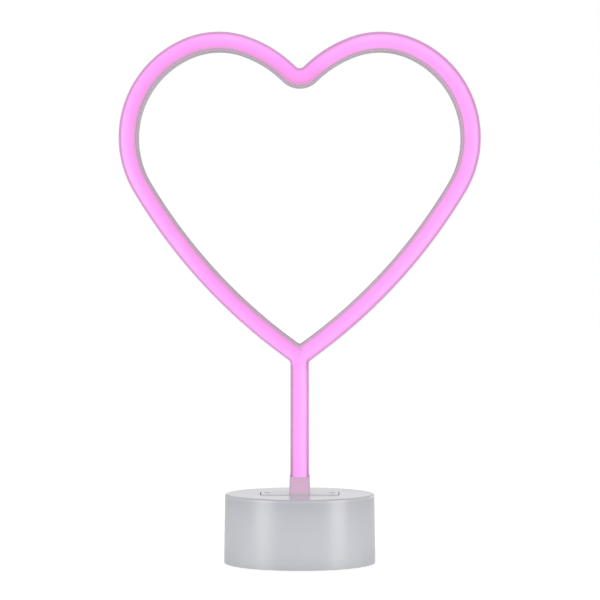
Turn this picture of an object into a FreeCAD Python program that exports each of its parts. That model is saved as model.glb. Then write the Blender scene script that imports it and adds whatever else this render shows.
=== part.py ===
import FreeCAD, Part
import math
import os

# Heart-shaped LED table lamp: a glowing tube bent into a heart on a short
# stem, held in a rectangular plug in the top of a round battery base.
# Millimetres. +Z up, origin on the table under the centre of the base, the
# lit face of the heart looks along -Y, the power switch is at +Y.

V = FreeCAD.Vector
os.makedirs("parts", exist_ok=True)

# ------------------------------------------------------------------ sizes
# heart: centre line of the right half, from the notch round to the V.
# (arc length, signed radius); positive turns upwards, negative downwards
NOTCH_Z = 302.65            # centre line at the notch, x = 0, heading +X
HEART_ARCS = [(7.363, 9.4575), (31.872, -73.669), (35.904, -49.257),
              (104.182, -60.363), (131.754, -338.865)]
TUBE_W = 11.6               # tube width seen from the front
TUBE_FRONT = -11.5          # crown of the lit face
TUBE_BACK = 11.5            # back of the housing
RIM_Y = -9.7                # front edge of the housing walls
WALL = 1.2                  # housing side wall
BACK_WALL = 1.6             # housing back wall
BACK_R = 2.2                # rounding of the housing's back corners
RIM_R = 0.5                 # rounding of the rims
FIT = 0.05                  # clearance between tube pieces
DIFF_EDGE_Y = -9.9          # where the dome meets its legs
DIFF_LEG_Y = -6.4           # inner end of the diffuser's legs
DIFF_T = 1.1                # diffuser wall
STEM_END_Z = 25.9           # lower end of the stem, inside the base

# LED boards
BOARD_HW = 2.6              # half width of the strip boards
BOARD_T = 0.8
LED = (3.5, 2.8, 0.75)      # length, width, height
LED_PITCH = 19.6

# base shell
BASE_R_BOT = 47.2
BASE_R_TOP = 46.5
SHELL_Z0 = 1.2              # lower rim of the shell, above the table
BASE_TOP_Z = 44.2
BASE_EDGE_R = 1.3
SHELL_T = 2.2
TOP_T = 2.4

# plug in the base top, which holds the stem
PLUG_HX = 24.1
PLUG_Y0, PLUG_Y1 = -12.7, 12.9
PLUG_T = 2.2                # part of the plug that is let into the top
PLUG_RISE = 0.45            # what stands proud of the top
PLUG_R = 1.6                # its corners
PLUG_GAP, PLUG_GAP_X = 0.15, 0.5
SOCKET_HX = 7.6
SOCKET_Y = 12.65
SOCKET_Z0 = 24.2
SHELF_T = 2.1
SHELF_X0 = 16.2
PLUG_SCREW_X = 19.8
DIMPLE_R, DIMPLE_T = 2.4, 0.5   # shallow round recess in the plug over each screw

# collar round the foot of the stem
COLLAR_Z1 = 55.4
COLLAR_W_TOP, COLLAR_W_BOT = 12.5, 12.9
COLLAR_D_TOP, COLLAR_D_BOT = 24.0, 24.4

# bottom plate, feet, door
PLATE_Z0, PLATE_Z1 = 1.6, 3.6
PLATE_R = 44.8
FOOT_R, FOOT_TOP = 4.2, 2.2
FEET = [(sx * 20.0, sy * 29.6) for sx in (-1, 1) for sy in (-1, 1)]
SCREWS = [(sx * 39.4, sy * 14.0) for sx in (-1, 1) for sy in (-1, 1)]
DOOR_HINGE_X = -28.6
DOOR_HINGE_Z = 2.5
DOOR_R = 0.9                # half of the door's thickness
DOOR_X1 = 29.4
DOOR_HY = 23.6
OPEN_X0, OPEN_X1, OPEN_HY = -29.7, 29.6, 23.8
PIN_R, PIN_L = 0.8, 1.6     # the door's hinge pins

# battery tray and AA cells
CELL_R, CELL_L, CELL_PITCH = 7.25, 50.5, 14.7
CELL_BTN_R, CELL_BTN_L = 2.7, 1.2
CELL_Z = 11.15
TRAY_HX, TRAY_HY, TRAY_Z1, TRAY_T = 28.6, 22.4, 18.8, 1.6
FLANGE_HX, FLANGE_HY, FLANGE_T = 33.4, 27.2, 1.3
PLATE_T = 0.4               # contact plates

# circuit board and switch at the back of the base
PCB_X, PCB_Y0, PCB_Y1, PCB_Z0, PCB_T = 17.0, 28.0, 40.2, 12.4, 1.6
PCB_POST = [(-12.8, 36.6), (12.8, 36.6)]
SW_Z = 17.05                # centre of the switch
SW_TRAVEL = 3.4
POCKET_HX, POCKET_HZ, POCKET_Y = 10.5, 5.4, 44.6
KNOB_END_Y = 46.3


# ---------------------------------------------------------------- helpers
def box(x0, x1, y0, y1, z0, z1):
    return Part.makeBox(x1 - x0, y1 - y0, z1 - z0, V(x0, y0, z0))


def rbox(x0, x1, y0, y1, z0, z1, r):
    """Box with its four vertical edges rounded."""
    b = box(x0, x1, y0, y1, z0, z1)
    es = [e for e in b.Edges if abs(e.Vertexes[0].X - e.Vertexes[1].X) < 1e-6
          and abs(e.Vertexes[0].Y - e.Vertexes[1].Y) < 1e-6]
    return b.makeFillet(r, es)


def cyl(r, x, y, z0, z1):
    return Part.makeCylinder(r, z1 - z0, V(x, y, z0))


def cyl_y(r, x, y0, y1, z):
    return Part.makeCylinder(r, y1 - y0, V(x, y0, z), V(0, 1, 0))


def fuse(shapes):
    out = shapes[0]
    if len(shapes) > 1:
        out = out.fuse(shapes[1:])
    return out.removeSplitter()


def save(name, shape):
    solids = shape.Solids
    assert solids, name
    for s in solids:
        assert s.isValid() and s.Volume > 0, name
    out = solids[0] if len(solids) == 1 else Part.Compound(solids)
    out.exportStep("parts/" + name + ".step")
    print("%-24s solids %3d  volume %10.1f mm3" % (name, len(solids), out.Volume))


# ------------------------------------------------- heart's centre line
def centre_line():
    """Pieces of the right half: start point, heading, length, radius."""
    x, z, h = 0.0, NOTCH_Z, 0.0
    segs = []
    for length, rad in HEART_ARCS:
        segs.append((x, z, h, length, rad))
        h2 = h + length / rad
        x += rad * (math.sin(h2) - math.sin(h))
        z -= rad * (math.cos(h2) - math.cos(h))
        h = h2
    last = -x / math.cos(h)          # straight run down to x = 0
    segs.append((x, z, h, last, None))
    return segs, z + last * math.sin(h), h


SEGS, APEX_Z, APEX_H = centre_line()
HALF_LEN = sum(s[3] for s in SEGS)


def along(s):
    """Point and heading at arc length s of the right half."""
    for x, z, h, length, rad in SEGS:
        if s <= length or (x, z, h, length, rad) == SEGS[-1]:
            if rad is None:
                return x + s * math.cos(h), z + s * math.sin(h), h
            h2 = h + s / rad
            return (x + rad * (math.sin(h2) - math.sin(h)),
                    z - rad * (math.cos(h2) - math.cos(h)), h2)
        s -= length


def profile_face(items, x, z, h):
    """Closed profile in (u, y): u across the tube, y its depth.
    items: [("L", (u, y))] straight to a point, [("A", mid, end)] arc."""
    nx, nz = -math.sin(h), math.cos(h)

    def p(q):
        return V(x + q[0] * nx, q[1], z + q[0] * nz)
    start = items[0][1]
    cur = start
    edges = []
    for it in items[1:]:
        if it[0] == "L":
            edges.append(Part.makeLine(p(cur), p(it[1])))
            cur = it[1]
        else:
            edges.append(Part.Arc(p(cur), p(it[1]), p(it[2])).toShape())
            cur = it[2]
    if abs(cur[0] - start[0]) + abs(cur[1] - start[1]) > 1e-9:
        edges.append(Part.makeLine(p(cur), p(start)))
    return Part.Face(Part.Wire(edges))


def sweep(items, stem_z0):
    """Profile carried round the heart and down the stem, as one solid."""
    solids = []
    for x, z, h, length, rad in SEGS:
        f = profile_face(items, x, z, h)
        if rad is None:
            run = length + 9.0
            solids.append(f.extrude(V(run * math.cos(h), 0, run * math.sin(h))))
        else:
            c = V(x - rad * math.sin(h), 0, z + rad * math.cos(h))
            ang = math.degrees(length / rad)
            axis = V(0, -1, 0) if ang > 0 else V(0, 1, 0)
            solids.append(f.revolve(c, axis, abs(ang)))
    half = fuse(solids)
    half = half.common(box(0, 300, -100, 100, -10, 500))
    other = half.mirror(V(0, 0, 0), V(1, 0, 0))
    fs = profile_face(items, 0, stem_z0, math.pi / 2)
    stem = fs.extrude(V(0, 0, APEX_Z - stem_z0))
    return fuse([half, other, stem])


def round_profile(hw, y0, y1, r0, r1):
    """Rectangle |u| <= hw, y0..y1 with its corners rounded r0 (front), r1."""
    k = 1 - math.sqrt(0.5)
    return [("L", (-hw, y0 + r0)),
            ("A", (-hw + k * r0, y0 + k * r0), (-hw + r0, y0)),
            ("L", (hw - r0, y0)),
            ("A", (hw - k * r0, y0 + k * r0), (hw, y0 + r0)),
            ("L", (hw, y1 - r1)),
            ("A", (hw - k * r1, y1 - k * r1), (hw - r1, y1)),
            ("L", (-hw + r1, y1)),
            ("A", (-hw + k * r1, y1 - k * r1), (-hw, y1 - r1))]


hw = TUBE_W / 2

# ------------------------------------------------------------ rear housing
outer = sweep(round_profile(hw, RIM_Y, TUBE_BACK, RIM_R, BACK_R), STEM_END_Z)
cav_hw = hw - WALL
cavity = sweep([("L", (-cav_hw, TUBE_FRONT - 3)), ("L", (cav_hw, TUBE_FRONT - 3)),
                ("L", (cav_hw, TUBE_BACK - BACK_WALL)),
                ("L", (-cav_hw, TUBE_BACK - BACK_WALL))], STEM_END_Z - 5)
housing = outer.cut(cavity)
LOCK_Z = 33.0
housing = housing.cut(cyl_y(0.95, 0, TUBE_BACK - 3, TUBE_BACK + 2, LOCK_Z))
save("rear_housing", housing)

# ---------------------------------------------------------- front diffuser
dh = cav_hw - FIT
dome = sweep([("L", (-dh, DIFF_EDGE_Y)),
              ("A", (0, TUBE_FRONT), (dh, DIFF_EDGE_Y)),
              ("L", (dh, DIFF_LEG_Y)), ("L", (-dh, DIFF_LEG_Y))], STEM_END_Z)
ih = dh - DIFF_T
hollow = sweep([("L", (-ih, DIFF_EDGE_Y + 0.8)),
                ("A", (0, TUBE_FRONT + DIFF_T), (ih, DIFF_EDGE_Y + 0.8)),
                ("L", (ih, DIFF_LEG_Y + 4)), ("L", (-ih, DIFF_LEG_Y + 4))],
               STEM_END_Z - 5)
diffuser = dome.cut(hollow)
save("front_diffuser", diffuser)

# ------------------------------------------------- LED boards in the tube
floor_y = TUBE_BACK - BACK_WALL
by0 = floor_y - BOARD_T


def board_half():
    solids = []
    items = [("L", (-BOARD_HW, by0)), ("L", (BOARD_HW, by0)),
             ("L", (BOARD_HW, floor_y)), ("L", (-BOARD_HW, floor_y))]
    for x, z, h, length, rad in SEGS:
        f = profile_face(items, x, z, h)
        if rad is None:
            solids.append(f.extrude(V(length * math.cos(h), 0, length * math.sin(h))))
        else:
            cc = V(x - rad * math.sin(h), 0, z + rad * math.cos(h))
            ang = math.degrees(length / rad)
            solids.append(f.revolve(cc, V(0, -1, 0) if ang > 0 else V(0, 1, 0), abs(ang)))
    b = fuse(solids)
    b = b.cut(box(-20, 0.6, -50, 50, NOTCH_Z - 30, NOTCH_Z + 30))
    return b.cut(cyl_y(7.0, 0, -50, 50, APEX_Z))


right = board_half()
save("led_board_right", right)
save("led_board_left", right.mirror(V(0, 0, 0), V(1, 0, 0)))
STEM_BOARD_Z0, STEM_BOARD_Z1 = 35.0, APEX_Z - 5.0
save("led_board_stem", box(-BOARD_HW, BOARD_HW, by0, floor_y, STEM_BOARD_Z0, STEM_BOARD_Z1))


def chip(x, z, h, du, l, w, t0):
    """Small block on the boards: l along the tube, w across, du sideways."""
    b = box(-l / 2, l / 2, by0 - t0, by0, -w / 2, w / 2)
    b.rotate(V(0, 0, 0), V(0, -1, 0), math.degrees(h))
    b.translate(V(x - du * math.sin(h), 0, z + du * math.cos(h)))
    return b


leds, res = [], []
n = int((HALF_LEN - 26) / LED_PITCH)
s0 = (HALF_LEN - 4 - n * LED_PITCH) / 2
for i in range(n + 1):
    x, z, h = along(s0 + i * LED_PITCH)
    leds.append(chip(x, z, h, 0, *LED))
    if i % 3 == 1:
        x, z, h = along(s0 + (i + 0.5) * LED_PITCH)
        res.append(chip(x, z, h, 1.1, 2.0, 1.25, 0.5))
leds += [s.mirror(V(0, 0, 0), V(1, 0, 0)) for s in leds]
res += [s.mirror(V(0, 0, 0), V(1, 0, 0)) for s in res]
for i in range(4):
    leds.append(chip(0, 117.0 - i * LED_PITCH, math.pi / 2, 0, *LED))
res.append(chip(0, 107.2, math.pi / 2, 1.1, 2.0, 1.25, 0.5))
save("led_chips", Part.Compound(leds))
save("led_resistors", Part.Compound(res))


def rod(a, b, r):
    a, b = V(*a), V(*b)
    return Part.makeCylinder(r, (b - a).Length, a, b - a)


jy = by0 - 0.3
jumpers = [rod((-2.6, jy, NOTCH_Z + 0.2 + d), (2.6, jy, NOTCH_Z + 0.2 + d), 0.28) for d in (-1.2, 1.4)]
for sgn in (-1, 1):
    jumpers.append(rod((sgn * 7.6, jy, APEX_Z + 5.4), (sgn * 1.7, jy, APEX_Z - 6.6), 0.28))
save("board_jumpers", Part.Compound(jumpers))

# ------------------------------------------------------------- base shell
H = BASE_TOP_Z - SHELL_Z0
body = Part.makeCone(BASE_R_BOT, BASE_R_TOP, H, V(0, 0, SHELL_Z0))
top_edge = [e for e in body.Edges if e.Closed and abs(e.CenterOfMass.z - BASE_TOP_Z) < 1e-3]
body = body.makeFillet(BASE_EDGE_R, top_edge)
hollow_h = H - TOP_T
slope = (BASE_R_BOT - BASE_R_TOP) / H
room = Part.makeCone(BASE_R_BOT - SHELL_T, BASE_R_BOT - SHELL_T - slope * hollow_h, hollow_h, V(0, 0, SHELL_Z0))
room_edge = [e for e in room.Edges if e.Closed and abs(e.CenterOfMass.z - SHELL_Z0 - hollow_h) < 1e-3]
room = room.makeFillet(1.4, room_edge)
shell = body.cut(room)
ceil_z = SHELL_Z0 + hollow_h
inside = Part.makeCone(BASE_R_BOT - 0.8, BASE_R_TOP - 0.8, H - 0.8, V(0, 0, SHELL_Z0))
adds = []
for sx in (-1, 1):           # shelves that carry the plug
    x0, x1 = sorted((sx * SHELF_X0, sx * (PLUG_HX + 2.2)))
    adds.append(box(x0, x1, PLUG_Y0 - 1.8, PLUG_Y1 + 1.8, BASE_TOP_Z - PLUG_T - SHELF_T, ceil_z + 0.5))
for sx, sy in [(a, b) for a in (-1, 1) for b in (-1, 1)]:   # screw columns
    px, py = sx * 39.4, sy * 14.0
    adds.append(cyl(3.2, px, py, PLATE_Z1, ceil_z + 0.5))
# wall of the switch pocket, set in from the round wall
adds.append(box(-POCKET_HX - 1.8, POCKET_HX + 1.8, POCKET_Y - 2.0, 46.0,
                SW_Z - POCKET_HZ - 1.8, SW_Z + POCKET_HZ + 1.8).common(inside))
shell = shell.fuse([a.common(inside) for a in adds]).removeSplitter()
shell = shell.cut(rbox(-PLUG_HX - PLUG_GAP_X, PLUG_HX + PLUG_GAP_X, PLUG_Y0 - PLUG_GAP, PLUG_Y1 + PLUG_GAP,
                       BASE_TOP_Z - PLUG_T, BASE_TOP_Z + 5, PLUG_R + 0.2))
shell = shell.cut(box(-SHELF_X0, SHELF_X0, PLUG_Y0 - PLUG_GAP, PLUG_Y1 + PLUG_GAP, 30, BASE_TOP_Z + 5))
for sx in (-1, 1):
    shell = shell.cut(cyl(2.7, sx * PLUG_SCREW_X, 0, 30, BASE_TOP_Z - 1))
for px, py in SCREWS:
    shell = shell.cut(cyl(1.0, px, py, PLATE_Z1 - 1, PLATE_Z1 + 11))
pocket = box(-POCKET_HX, POCKET_HX, POCKET_Y, 60, SW_Z - POCKET_HZ, SW_Z + POCKET_HZ)
pe = [e for e in pocket.Edges if abs(e.Vertexes[0].X - e.Vertexes[1].X) < 1e-6
      and abs(e.Vertexes[0].Z - e.Vertexes[1].Z) < 1e-6]
shell = shell.cut(pocket.makeFillet(1.6, pe))
shell = shell.cut(box(-3.5, 3.5, 40, 50, SW_Z - 1.6, SW_Z + 1.6))
save("base_shell", shell)

# ---------------------------------------------- plug, its screws, collar
pz = BASE_TOP_Z - PLUG_T
plug_top = BASE_TOP_Z + PLUG_RISE
plug = rbox(-PLUG_HX, PLUG_HX, PLUG_Y0, PLUG_Y1, pz, plug_top, PLUG_R)
plug = plug.makeFillet(0.2, [e for e in plug.Edges if e.BoundBox.ZMin > plug_top - 1e-3])
plug = plug.fuse([box(-SOCKET_HX, SOCKET_HX, -SOCKET_Y, SOCKET_Y, SOCKET_Z0, pz)]
                 + [cyl(2.5, s * PLUG_SCREW_X, 0, pz - SHELF_T, pz) for s in (-1, 1)]
                 + [box(s * 10.6 - 3.2, s * 10.6 + 3.2, -0.8, 0.8, pz - 9, pz) for s in (-1, 1)]
                 ).removeSplitter()
plug = plug.cut(box(-hw - FIT, hw + FIT, TUBE_FRONT - FIT, TUBE_BACK + FIT, SOCKET_Z0 + 1.6, BASE_TOP_Z + 5))
plug = plug.cut(rbox(-3.6, 3.6, 5.6, 10.4, SOCKET_Z0 - 2, SOCKET_Z0 + 4, 1.5))
for s in (-1, 1):
    plug = plug.cut(cyl(0.95, s * PLUG_SCREW_X, 0, pz - SHELF_T - 1, BASE_TOP_Z - 0.9))
    plug = plug.cut(cyl(DIMPLE_R, s * PLUG_SCREW_X, 0, plug_top - DIMPLE_T, plug_top + 1))
plug = plug.cut(cyl_y(1.1, 0, TUBE_BACK - 2, 20, LOCK_Z))
save("holder_plug", plug)

hz = pz - SHELF_T
screws = []
for s in (-1, 1):
    sc = cyl(3.5, s * PLUG_SCREW_X, 0, hz - 1.3, hz).fuse(cyl(0.92, s * PLUG_SCREW_X, 0, hz - 0.1, BASE_TOP_Z - 1.1))
    sc = sc.cut(box(s * PLUG_SCREW_X - 1.6, s * PLUG_SCREW_X + 1.6, -0.3, 0.3, hz - 2, hz - 0.7))
    sc = sc.cut(box(s * PLUG_SCREW_X - 0.3, s * PLUG_SCREW_X + 0.3, -1.6, 1.6, hz - 2, hz - 0.7))
    screws.append(sc.removeSplitter())
save("holder_screws", Part.Compound(screws))

lock = cyl_y(2.1, 0, SOCKET_Y, SOCKET_Y + 1.2, LOCK_Z).fuse(cyl_y(0.92, 0, TUBE_BACK - 2.4, SOCKET_Y + 0.1, LOCK_Z))
lock = lock.cut(box(-1.4, 1.4, SOCKET_Y + 0.6, SOCKET_Y + 3, LOCK_Z - 0.25, LOCK_Z + 0.25))
lock = lock.cut(box(-0.25, 0.25, SOCKET_Y + 0.6, SOCKET_Y + 3, LOCK_Z - 1.4, LOCK_Z + 1.4))
save("stem_lock_screw", lock.removeSplitter())


def rect_wire(w, d, r, z):
    x, y, k = w / 2, d / 2, 1 - math.sqrt(0.5)
    pts = []
    es = []
    for (sx, sy) in ((1, -1), (1, 1), (-1, 1), (-1, -1)):
        cx, cy = sx * (x - r), sy * (y - r)
        if sx * sy < 0:
            a, b = (cx, sy * y), (sx * x, cy)
        else:
            a, b = (sx * x, cy), (cx, sy * y)
        m = (cx + sx * r * math.sqrt(0.5), cy + sy * r * math.sqrt(0.5))
        pts.append((a, m, b))
    for i, (a, m, b) in enumerate(pts):
        es.append(Part.Arc(V(a[0], a[1], z), V(m[0], m[1], z), V(b[0], b[1], z)).toShape())
        nxt = pts[(i + 1) % 4][0]
        es.append(Part.makeLine(V(b[0], b[1], z), V(nxt[0], nxt[1], z)))
    return Part.Wire(es)


collar = Part.makeLoft([rect_wire(COLLAR_W_BOT, COLLAR_D_BOT, 1.3, plug_top),
                        rect_wire(COLLAR_W_TOP, COLLAR_D_TOP, 1.1, COLLAR_Z1)], True, True)
collar = collar.cut(box(-hw - FIT, hw + FIT, TUBE_FRONT - FIT, TUBE_BACK + FIT, 0, 100))
save("stem_collar", collar)

# --------------------------------------- bottom plate, feet, screws, door
plate = cyl(PLATE_R, 0, 0, PLATE_Z0, PLATE_Z1)
stakes = []
for px, py in [(a * 31.95, b * 12.0) for a in (-1, 1) for b in (-1, 1)]:
    stakes += [cyl(1.0, px, py, PLATE_Z1 - 0.5, PLATE_Z1 + FLANGE_T + 0.1),
               cyl(1.4, px, py, PLATE_Z1 + FLANGE_T, PLATE_Z1 + FLANGE_T + 0.7)]
posts = [cyl(2.5, px, py, PLATE_Z1 - 0.5, PCB_Z0) for px, py in PCB_POST]
plate = plate.fuse(stakes + posts).removeSplitter()
plate = plate.cut(box(OPEN_X0, OPEN_X1, -OPEN_HY, OPEN_HY, 0, PLATE_Z1 + 0.001))
for px, py in PCB_POST:
    plate = plate.cut(cyl(0.85, px, py, PLATE_Z1 + 1, PCB_Z0 + 1))
for px, py in FEET:
    plate = plate.cut(cyl(FOOT_R + 0.1, px, py, 0, FOOT_TOP))
for px, py in SCREWS:
    plate = plate.cut(cyl(1.3, px, py, 0, PLATE_Z1 + 1))
    plate = plate.cut(cyl(2.7, px, py, 0, 2.8))
for sgn in (-1, 1):          # sockets for the door's hinge pins
    y0, y1 = sorted((sgn * (OPEN_HY - 1), sgn * (DOOR_HY + PIN_L + 0.2)))
    plate = plate.cut(cyl_y(PIN_R + 0.06, DOOR_HINGE_X, y0, y1, DOOR_HINGE_Z))
# finger notch at the door's free edge
plate = plate.cut(cyl(7.0, OPEN_X1, 0, 0, 2.6).common(box(OPEN_X1 - 1, 60, -20, 20, -1, 2.6)))
save("bottom_plate", plate)

save("rubber_feet", Part.Compound([
    (lambda f: f.makeFillet(0.6, [e for e in f.Edges if e.Closed and abs(e.CenterOfMass.z) < 1e-6]))
    (cyl(FOOT_R, px, py, 0, FOOT_TOP)) for px, py in FEET]))

bs = []
for px, py in SCREWS:
    sc = cyl(2.5, px, py, 1.7, 2.8).fuse(cyl(0.96, px, py, 2.7, 12.8))
    sc = sc.cut(box(px - 1.5, px + 1.5, py - 0.3, py + 0.3, 1, 2.25))
    sc = sc.cut(box(px - 0.3, px + 0.3, py - 1.5, py + 1.5, 1, 2.25))
    bs.append(sc.removeSplitter())
save("base_screws", Part.Compound(bs))

dz0, dz1 = DOOR_HINGE_Z - DOOR_R, DOOR_HINGE_Z + DOOR_R
door = box(DOOR_HINGE_X, DOOR_X1, -DOOR_HY, DOOR_HY, dz0, dz1)
door = door.fuse([cyl_y(DOOR_R, DOOR_HINGE_X, -DOOR_HY, DOOR_HY, DOOR_HINGE_Z),
                  cyl_y(PIN_R, DOOR_HINGE_X, -DOOR_HY - PIN_L, DOOR_HY + PIN_L, DOOR_HINGE_Z)]).removeSplitter()
grips = [rbox(x, x + 1.2, -7.5, 7.5, 0, dz0 + 0.5, 0.5) for x in (17.0, 19.4, 21.8, 24.2)]
for g in grips:
    door = door.cut(g)
# thinned flexing tongue of the latch at the free edge
door = door.cut(box(14.5, DOOR_X1 + 1, 9.4, 10.2, 0, 10)).cut(box(14.5, DOOR_X1 + 1, -10.2, -9.4, 0, 10))
door = door.cut(box(15.0, 28.2, -9.4, 9.4, dz1 - 0.5, 10))
save("battery_door", door)

# ------------------------------------------- battery tray, cells, contacts
tray = box(-TRAY_HX - TRAY_T, TRAY_HX + TRAY_T, -TRAY_HY - TRAY_T, TRAY_HY + TRAY_T, PLATE_Z1, TRAY_Z1 + TRAY_T)
te = [e for e in tray.Edges if e.CenterOfMass.z > TRAY_Z1 or
      (abs(e.Vertexes[0].X - e.Vertexes[1].X) < 1e-6 and abs(e.Vertexes[0].Y - e.Vertexes[1].Y) < 1e-6)]
tray = tray.makeFillet(1.0, te)
tray = tray.fuse(rbox(-FLANGE_HX, FLANGE_HX, -FLANGE_HY, FLANGE_HY, PLATE_Z1, PLATE_Z1 + FLANGE_T, 3.0))
tray = tray.cut(box(-TRAY_HX, TRAY_HX, -TRAY_HY, TRAY_HY, PLATE_Z1 - 1, TRAY_Z1))
ribs = [box(-22, 22, s * CELL_PITCH / 2 - 0.9, s * CELL_PITCH / 2 + 0.9, TRAY_Z1 - 2.8, TRAY_Z1 + 0.2) for s in (-1, 1)]
tray = tray.fuse(ribs).removeSplitter()
for px, py in [(a * 31.95, b * 12.0) for a in (-1, 1) for b in (-1, 1)]:
    tray = tray.cut(cyl(1.05, px, py, 0, PLATE_Z1 + FLANGE_T + 1))
TAB_HW = 1.6
tabs = [(TRAY_HX, CELL_PITCH), (-TRAY_HX, -CELL_PITCH)]
for tx, ty in tabs:
    x0, x1 = sorted((tx, tx - math.copysign(PLATE_T + 0.1, tx)))
    tray = tray.cut(box(x0, x1, ty - TAB_HW - 0.1, ty + TAB_HW + 0.1, TRAY_Z1 - 1, TRAY_Z1 + TRAY_T + 1))
save("battery_tray", tray)


def cell(y, sgn):
    """AA cell along X; its button points to sgn * X and meets its contact."""
    tip = TRAY_HX - PLATE_T - 0.05
    body_l = CELL_L - CELL_BTN_L
    b = Part.makeCylinder(CELL_R, body_l, V(tip - CELL_L, y, CELL_Z), V(1, 0, 0))
    es = [e for e in b.Edges if e.Closed and len(e.Vertexes) == 1]
    b = b.makeFillet(0.7, es)
    b = b.fuse([Part.makeCylinder(CELL_BTN_R, CELL_BTN_L + 0.2, V(tip - CELL_BTN_L - 0.2, y, CELL_Z), V(1, 0, 0))])
    b = b.removeSplitter()
    if sgn < 0:
        b.rotate(V(0, y, CELL_Z), V(0, 0, 1), 180)
    return b


save("battery_1", cell(-CELL_PITCH, 1))
save("battery_2", cell(0, -1))
save("battery_3", cell(CELL_PITCH, 1))


def contact(x_wall, pads, springs, tab_y=None):
    """Plate on an end wall, with flat pads and folded leaf springs."""
    s = math.copysign(1, x_wall)
    xa, xb = x_wall, x_wall - s * PLATE_T
    x0, x1 = min(xa, xb), max(xa, xb)
    ys = pads + springs
    p = box(x0, x1, min(ys) - 4.6, max(ys) + 4.6, CELL_Z - 4.6, CELL_Z + 4.6)
    if tab_y is not None:
        p = p.fuse(box(x0, x1, tab_y - TAB_HW, tab_y + TAB_HW, CELL_Z, TRAY_Z1 + TRAY_T + 2.4))
    # the negative end of a cell stands off by what is left of the bay
    reach = 2 * TRAY_HX - CELL_L - 2 * PLATE_T - 0.05 - 0.08
    for y in springs:
        xs = x_wall - s * PLATE_T
        a = 3.2
        prof = [(xs, CELL_Z - a), (xs - s * reach, CELL_Z - 0.6), (xs - s * reach, CELL_Z + 0.6),
                (xs, CELL_Z + a), (xs, CELL_Z + a - 0.75), (xs - s * (reach - 0.4), CELL_Z + 0.3),
                (xs - s * (reach - 0.4), CELL_Z - 0.3), (xs, CELL_Z - a + 0.75)]
        w = Part.makePolygon([V(q[0], y - 2.2, q[1]) for q in prof] + [V(prof[0][0], y - 2.2, prof[0][1])])
        p = p.fuse(Part.Face(w).extrude(V(0, 4.4, 0)))
    return p.removeSplitter()


save("contact_positive", contact(TRAY_HX, [CELL_PITCH], [], CELL_PITCH))
save("contact_negative", contact(-TRAY_HX, [], [-CELL_PITCH], -CELL_PITCH))
save("bridge_contact_right", contact(TRAY_HX, [-CELL_PITCH], [0.0]))
save("bridge_contact_left", contact(-TRAY_HX, [0.0], [CELL_PITCH]))

# ------------------------------------------ circuit board and its parts
pcb = rbox(-PCB_X, PCB_X, PCB_Y0, PCB_Y1, PCB_Z0, PCB_Z0 + PCB_T, 1.0)
for px, py in PCB_POST:
    pcb = pcb.cut(cyl(1.1, px, py, 0, 30))
save("circuit_board", pcb)
pt = PCB_Z0 + PCB_T
chipb = box(2.5, 7.5, 30.0, 34.0, pt + 0.2, pt + 1.7)
legs = []
for i in range(4):
    lx = 3.1 + i * 1.27
    legs += [box(lx - 0.2, lx + 0.2, 29.0, 30.2, pt, pt + 0.5), box(lx - 0.2, lx + 0.2, 33.8, 35.0, pt, pt + 0.5)]
save("driver_chip", chipb.fuse(legs).removeSplitter())
cap = cyl(2.5, -4.6, 32.4, pt, pt + 6.6)
cap = cap.makeFillet(0.5, [e for e in cap.Edges if e.Closed and abs(e.CenterOfMass.z - pt - 6.6) < 1e-6])
save("board_capacitor", cap)
choke = cyl(3.0, -11.6, 31.4, pt, pt + 0.9).fuse([cyl(2.1, -11.6, 31.4, pt + 0.5, pt + 3.4), cyl(3.0, -11.6, 31.4, pt + 3.0, pt + 3.9)])
save("board_choke", choke.removeSplitter())
ps = []
for px, py in PCB_POST:
    sc = cyl(1.9, px, py, pt, pt + 1.1).fuse(cyl(0.82, px, py, pt - 6.5, pt + 0.1))
    sc = sc.cut(box(px - 1.2, px + 1.2, py - 0.22, py + 0.22, pt + 0.6, pt + 3))
    sc = sc.cut(box(px - 0.22, px + 0.22, py - 1.2, py + 1.2, pt + 0.6, pt + 3))
    ps.append(sc.removeSplitter())
save("board_screws", Part.Compound(ps))

# slide switch: metal can, with the lever's block running inside it
SWY0, SWY1 = 36.9, POCKET_Y - 2.05
can = box(-6.0, 6.0, SWY0, SWY1, pt, SW_Z + 3.0)
can = can.cut(box(-4.9, 4.9, 38.9, SWY1 - 0.6, SW_Z - 2.0, SW_Z + 2.0))
can = can.cut(box(-3.2, 3.2, 39, SWY1 + 1, SW_Z - 1.45, SW_Z + 1.45))
save("switch_body", can)
kx = -SW_TRAVEL / 2
lever = box(kx - 2.6, kx + 2.6, 39.1, SWY1 - 0.75, SW_Z - 1.85, SW_Z + 1.85)
knob = box(kx - 1.35, kx + 1.35, SWY1 - 1.0, KNOB_END_Y, SW_Z - 1.25, SW_Z + 1.25)
ke = [e for e in knob.Edges if e.CenterOfMass.y > KNOB_END_Y - 1e-3]
knob = knob.makeFillet(0.35, ke)
save("switch_lever", lever.fuse(knob).removeSplitter())


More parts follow.
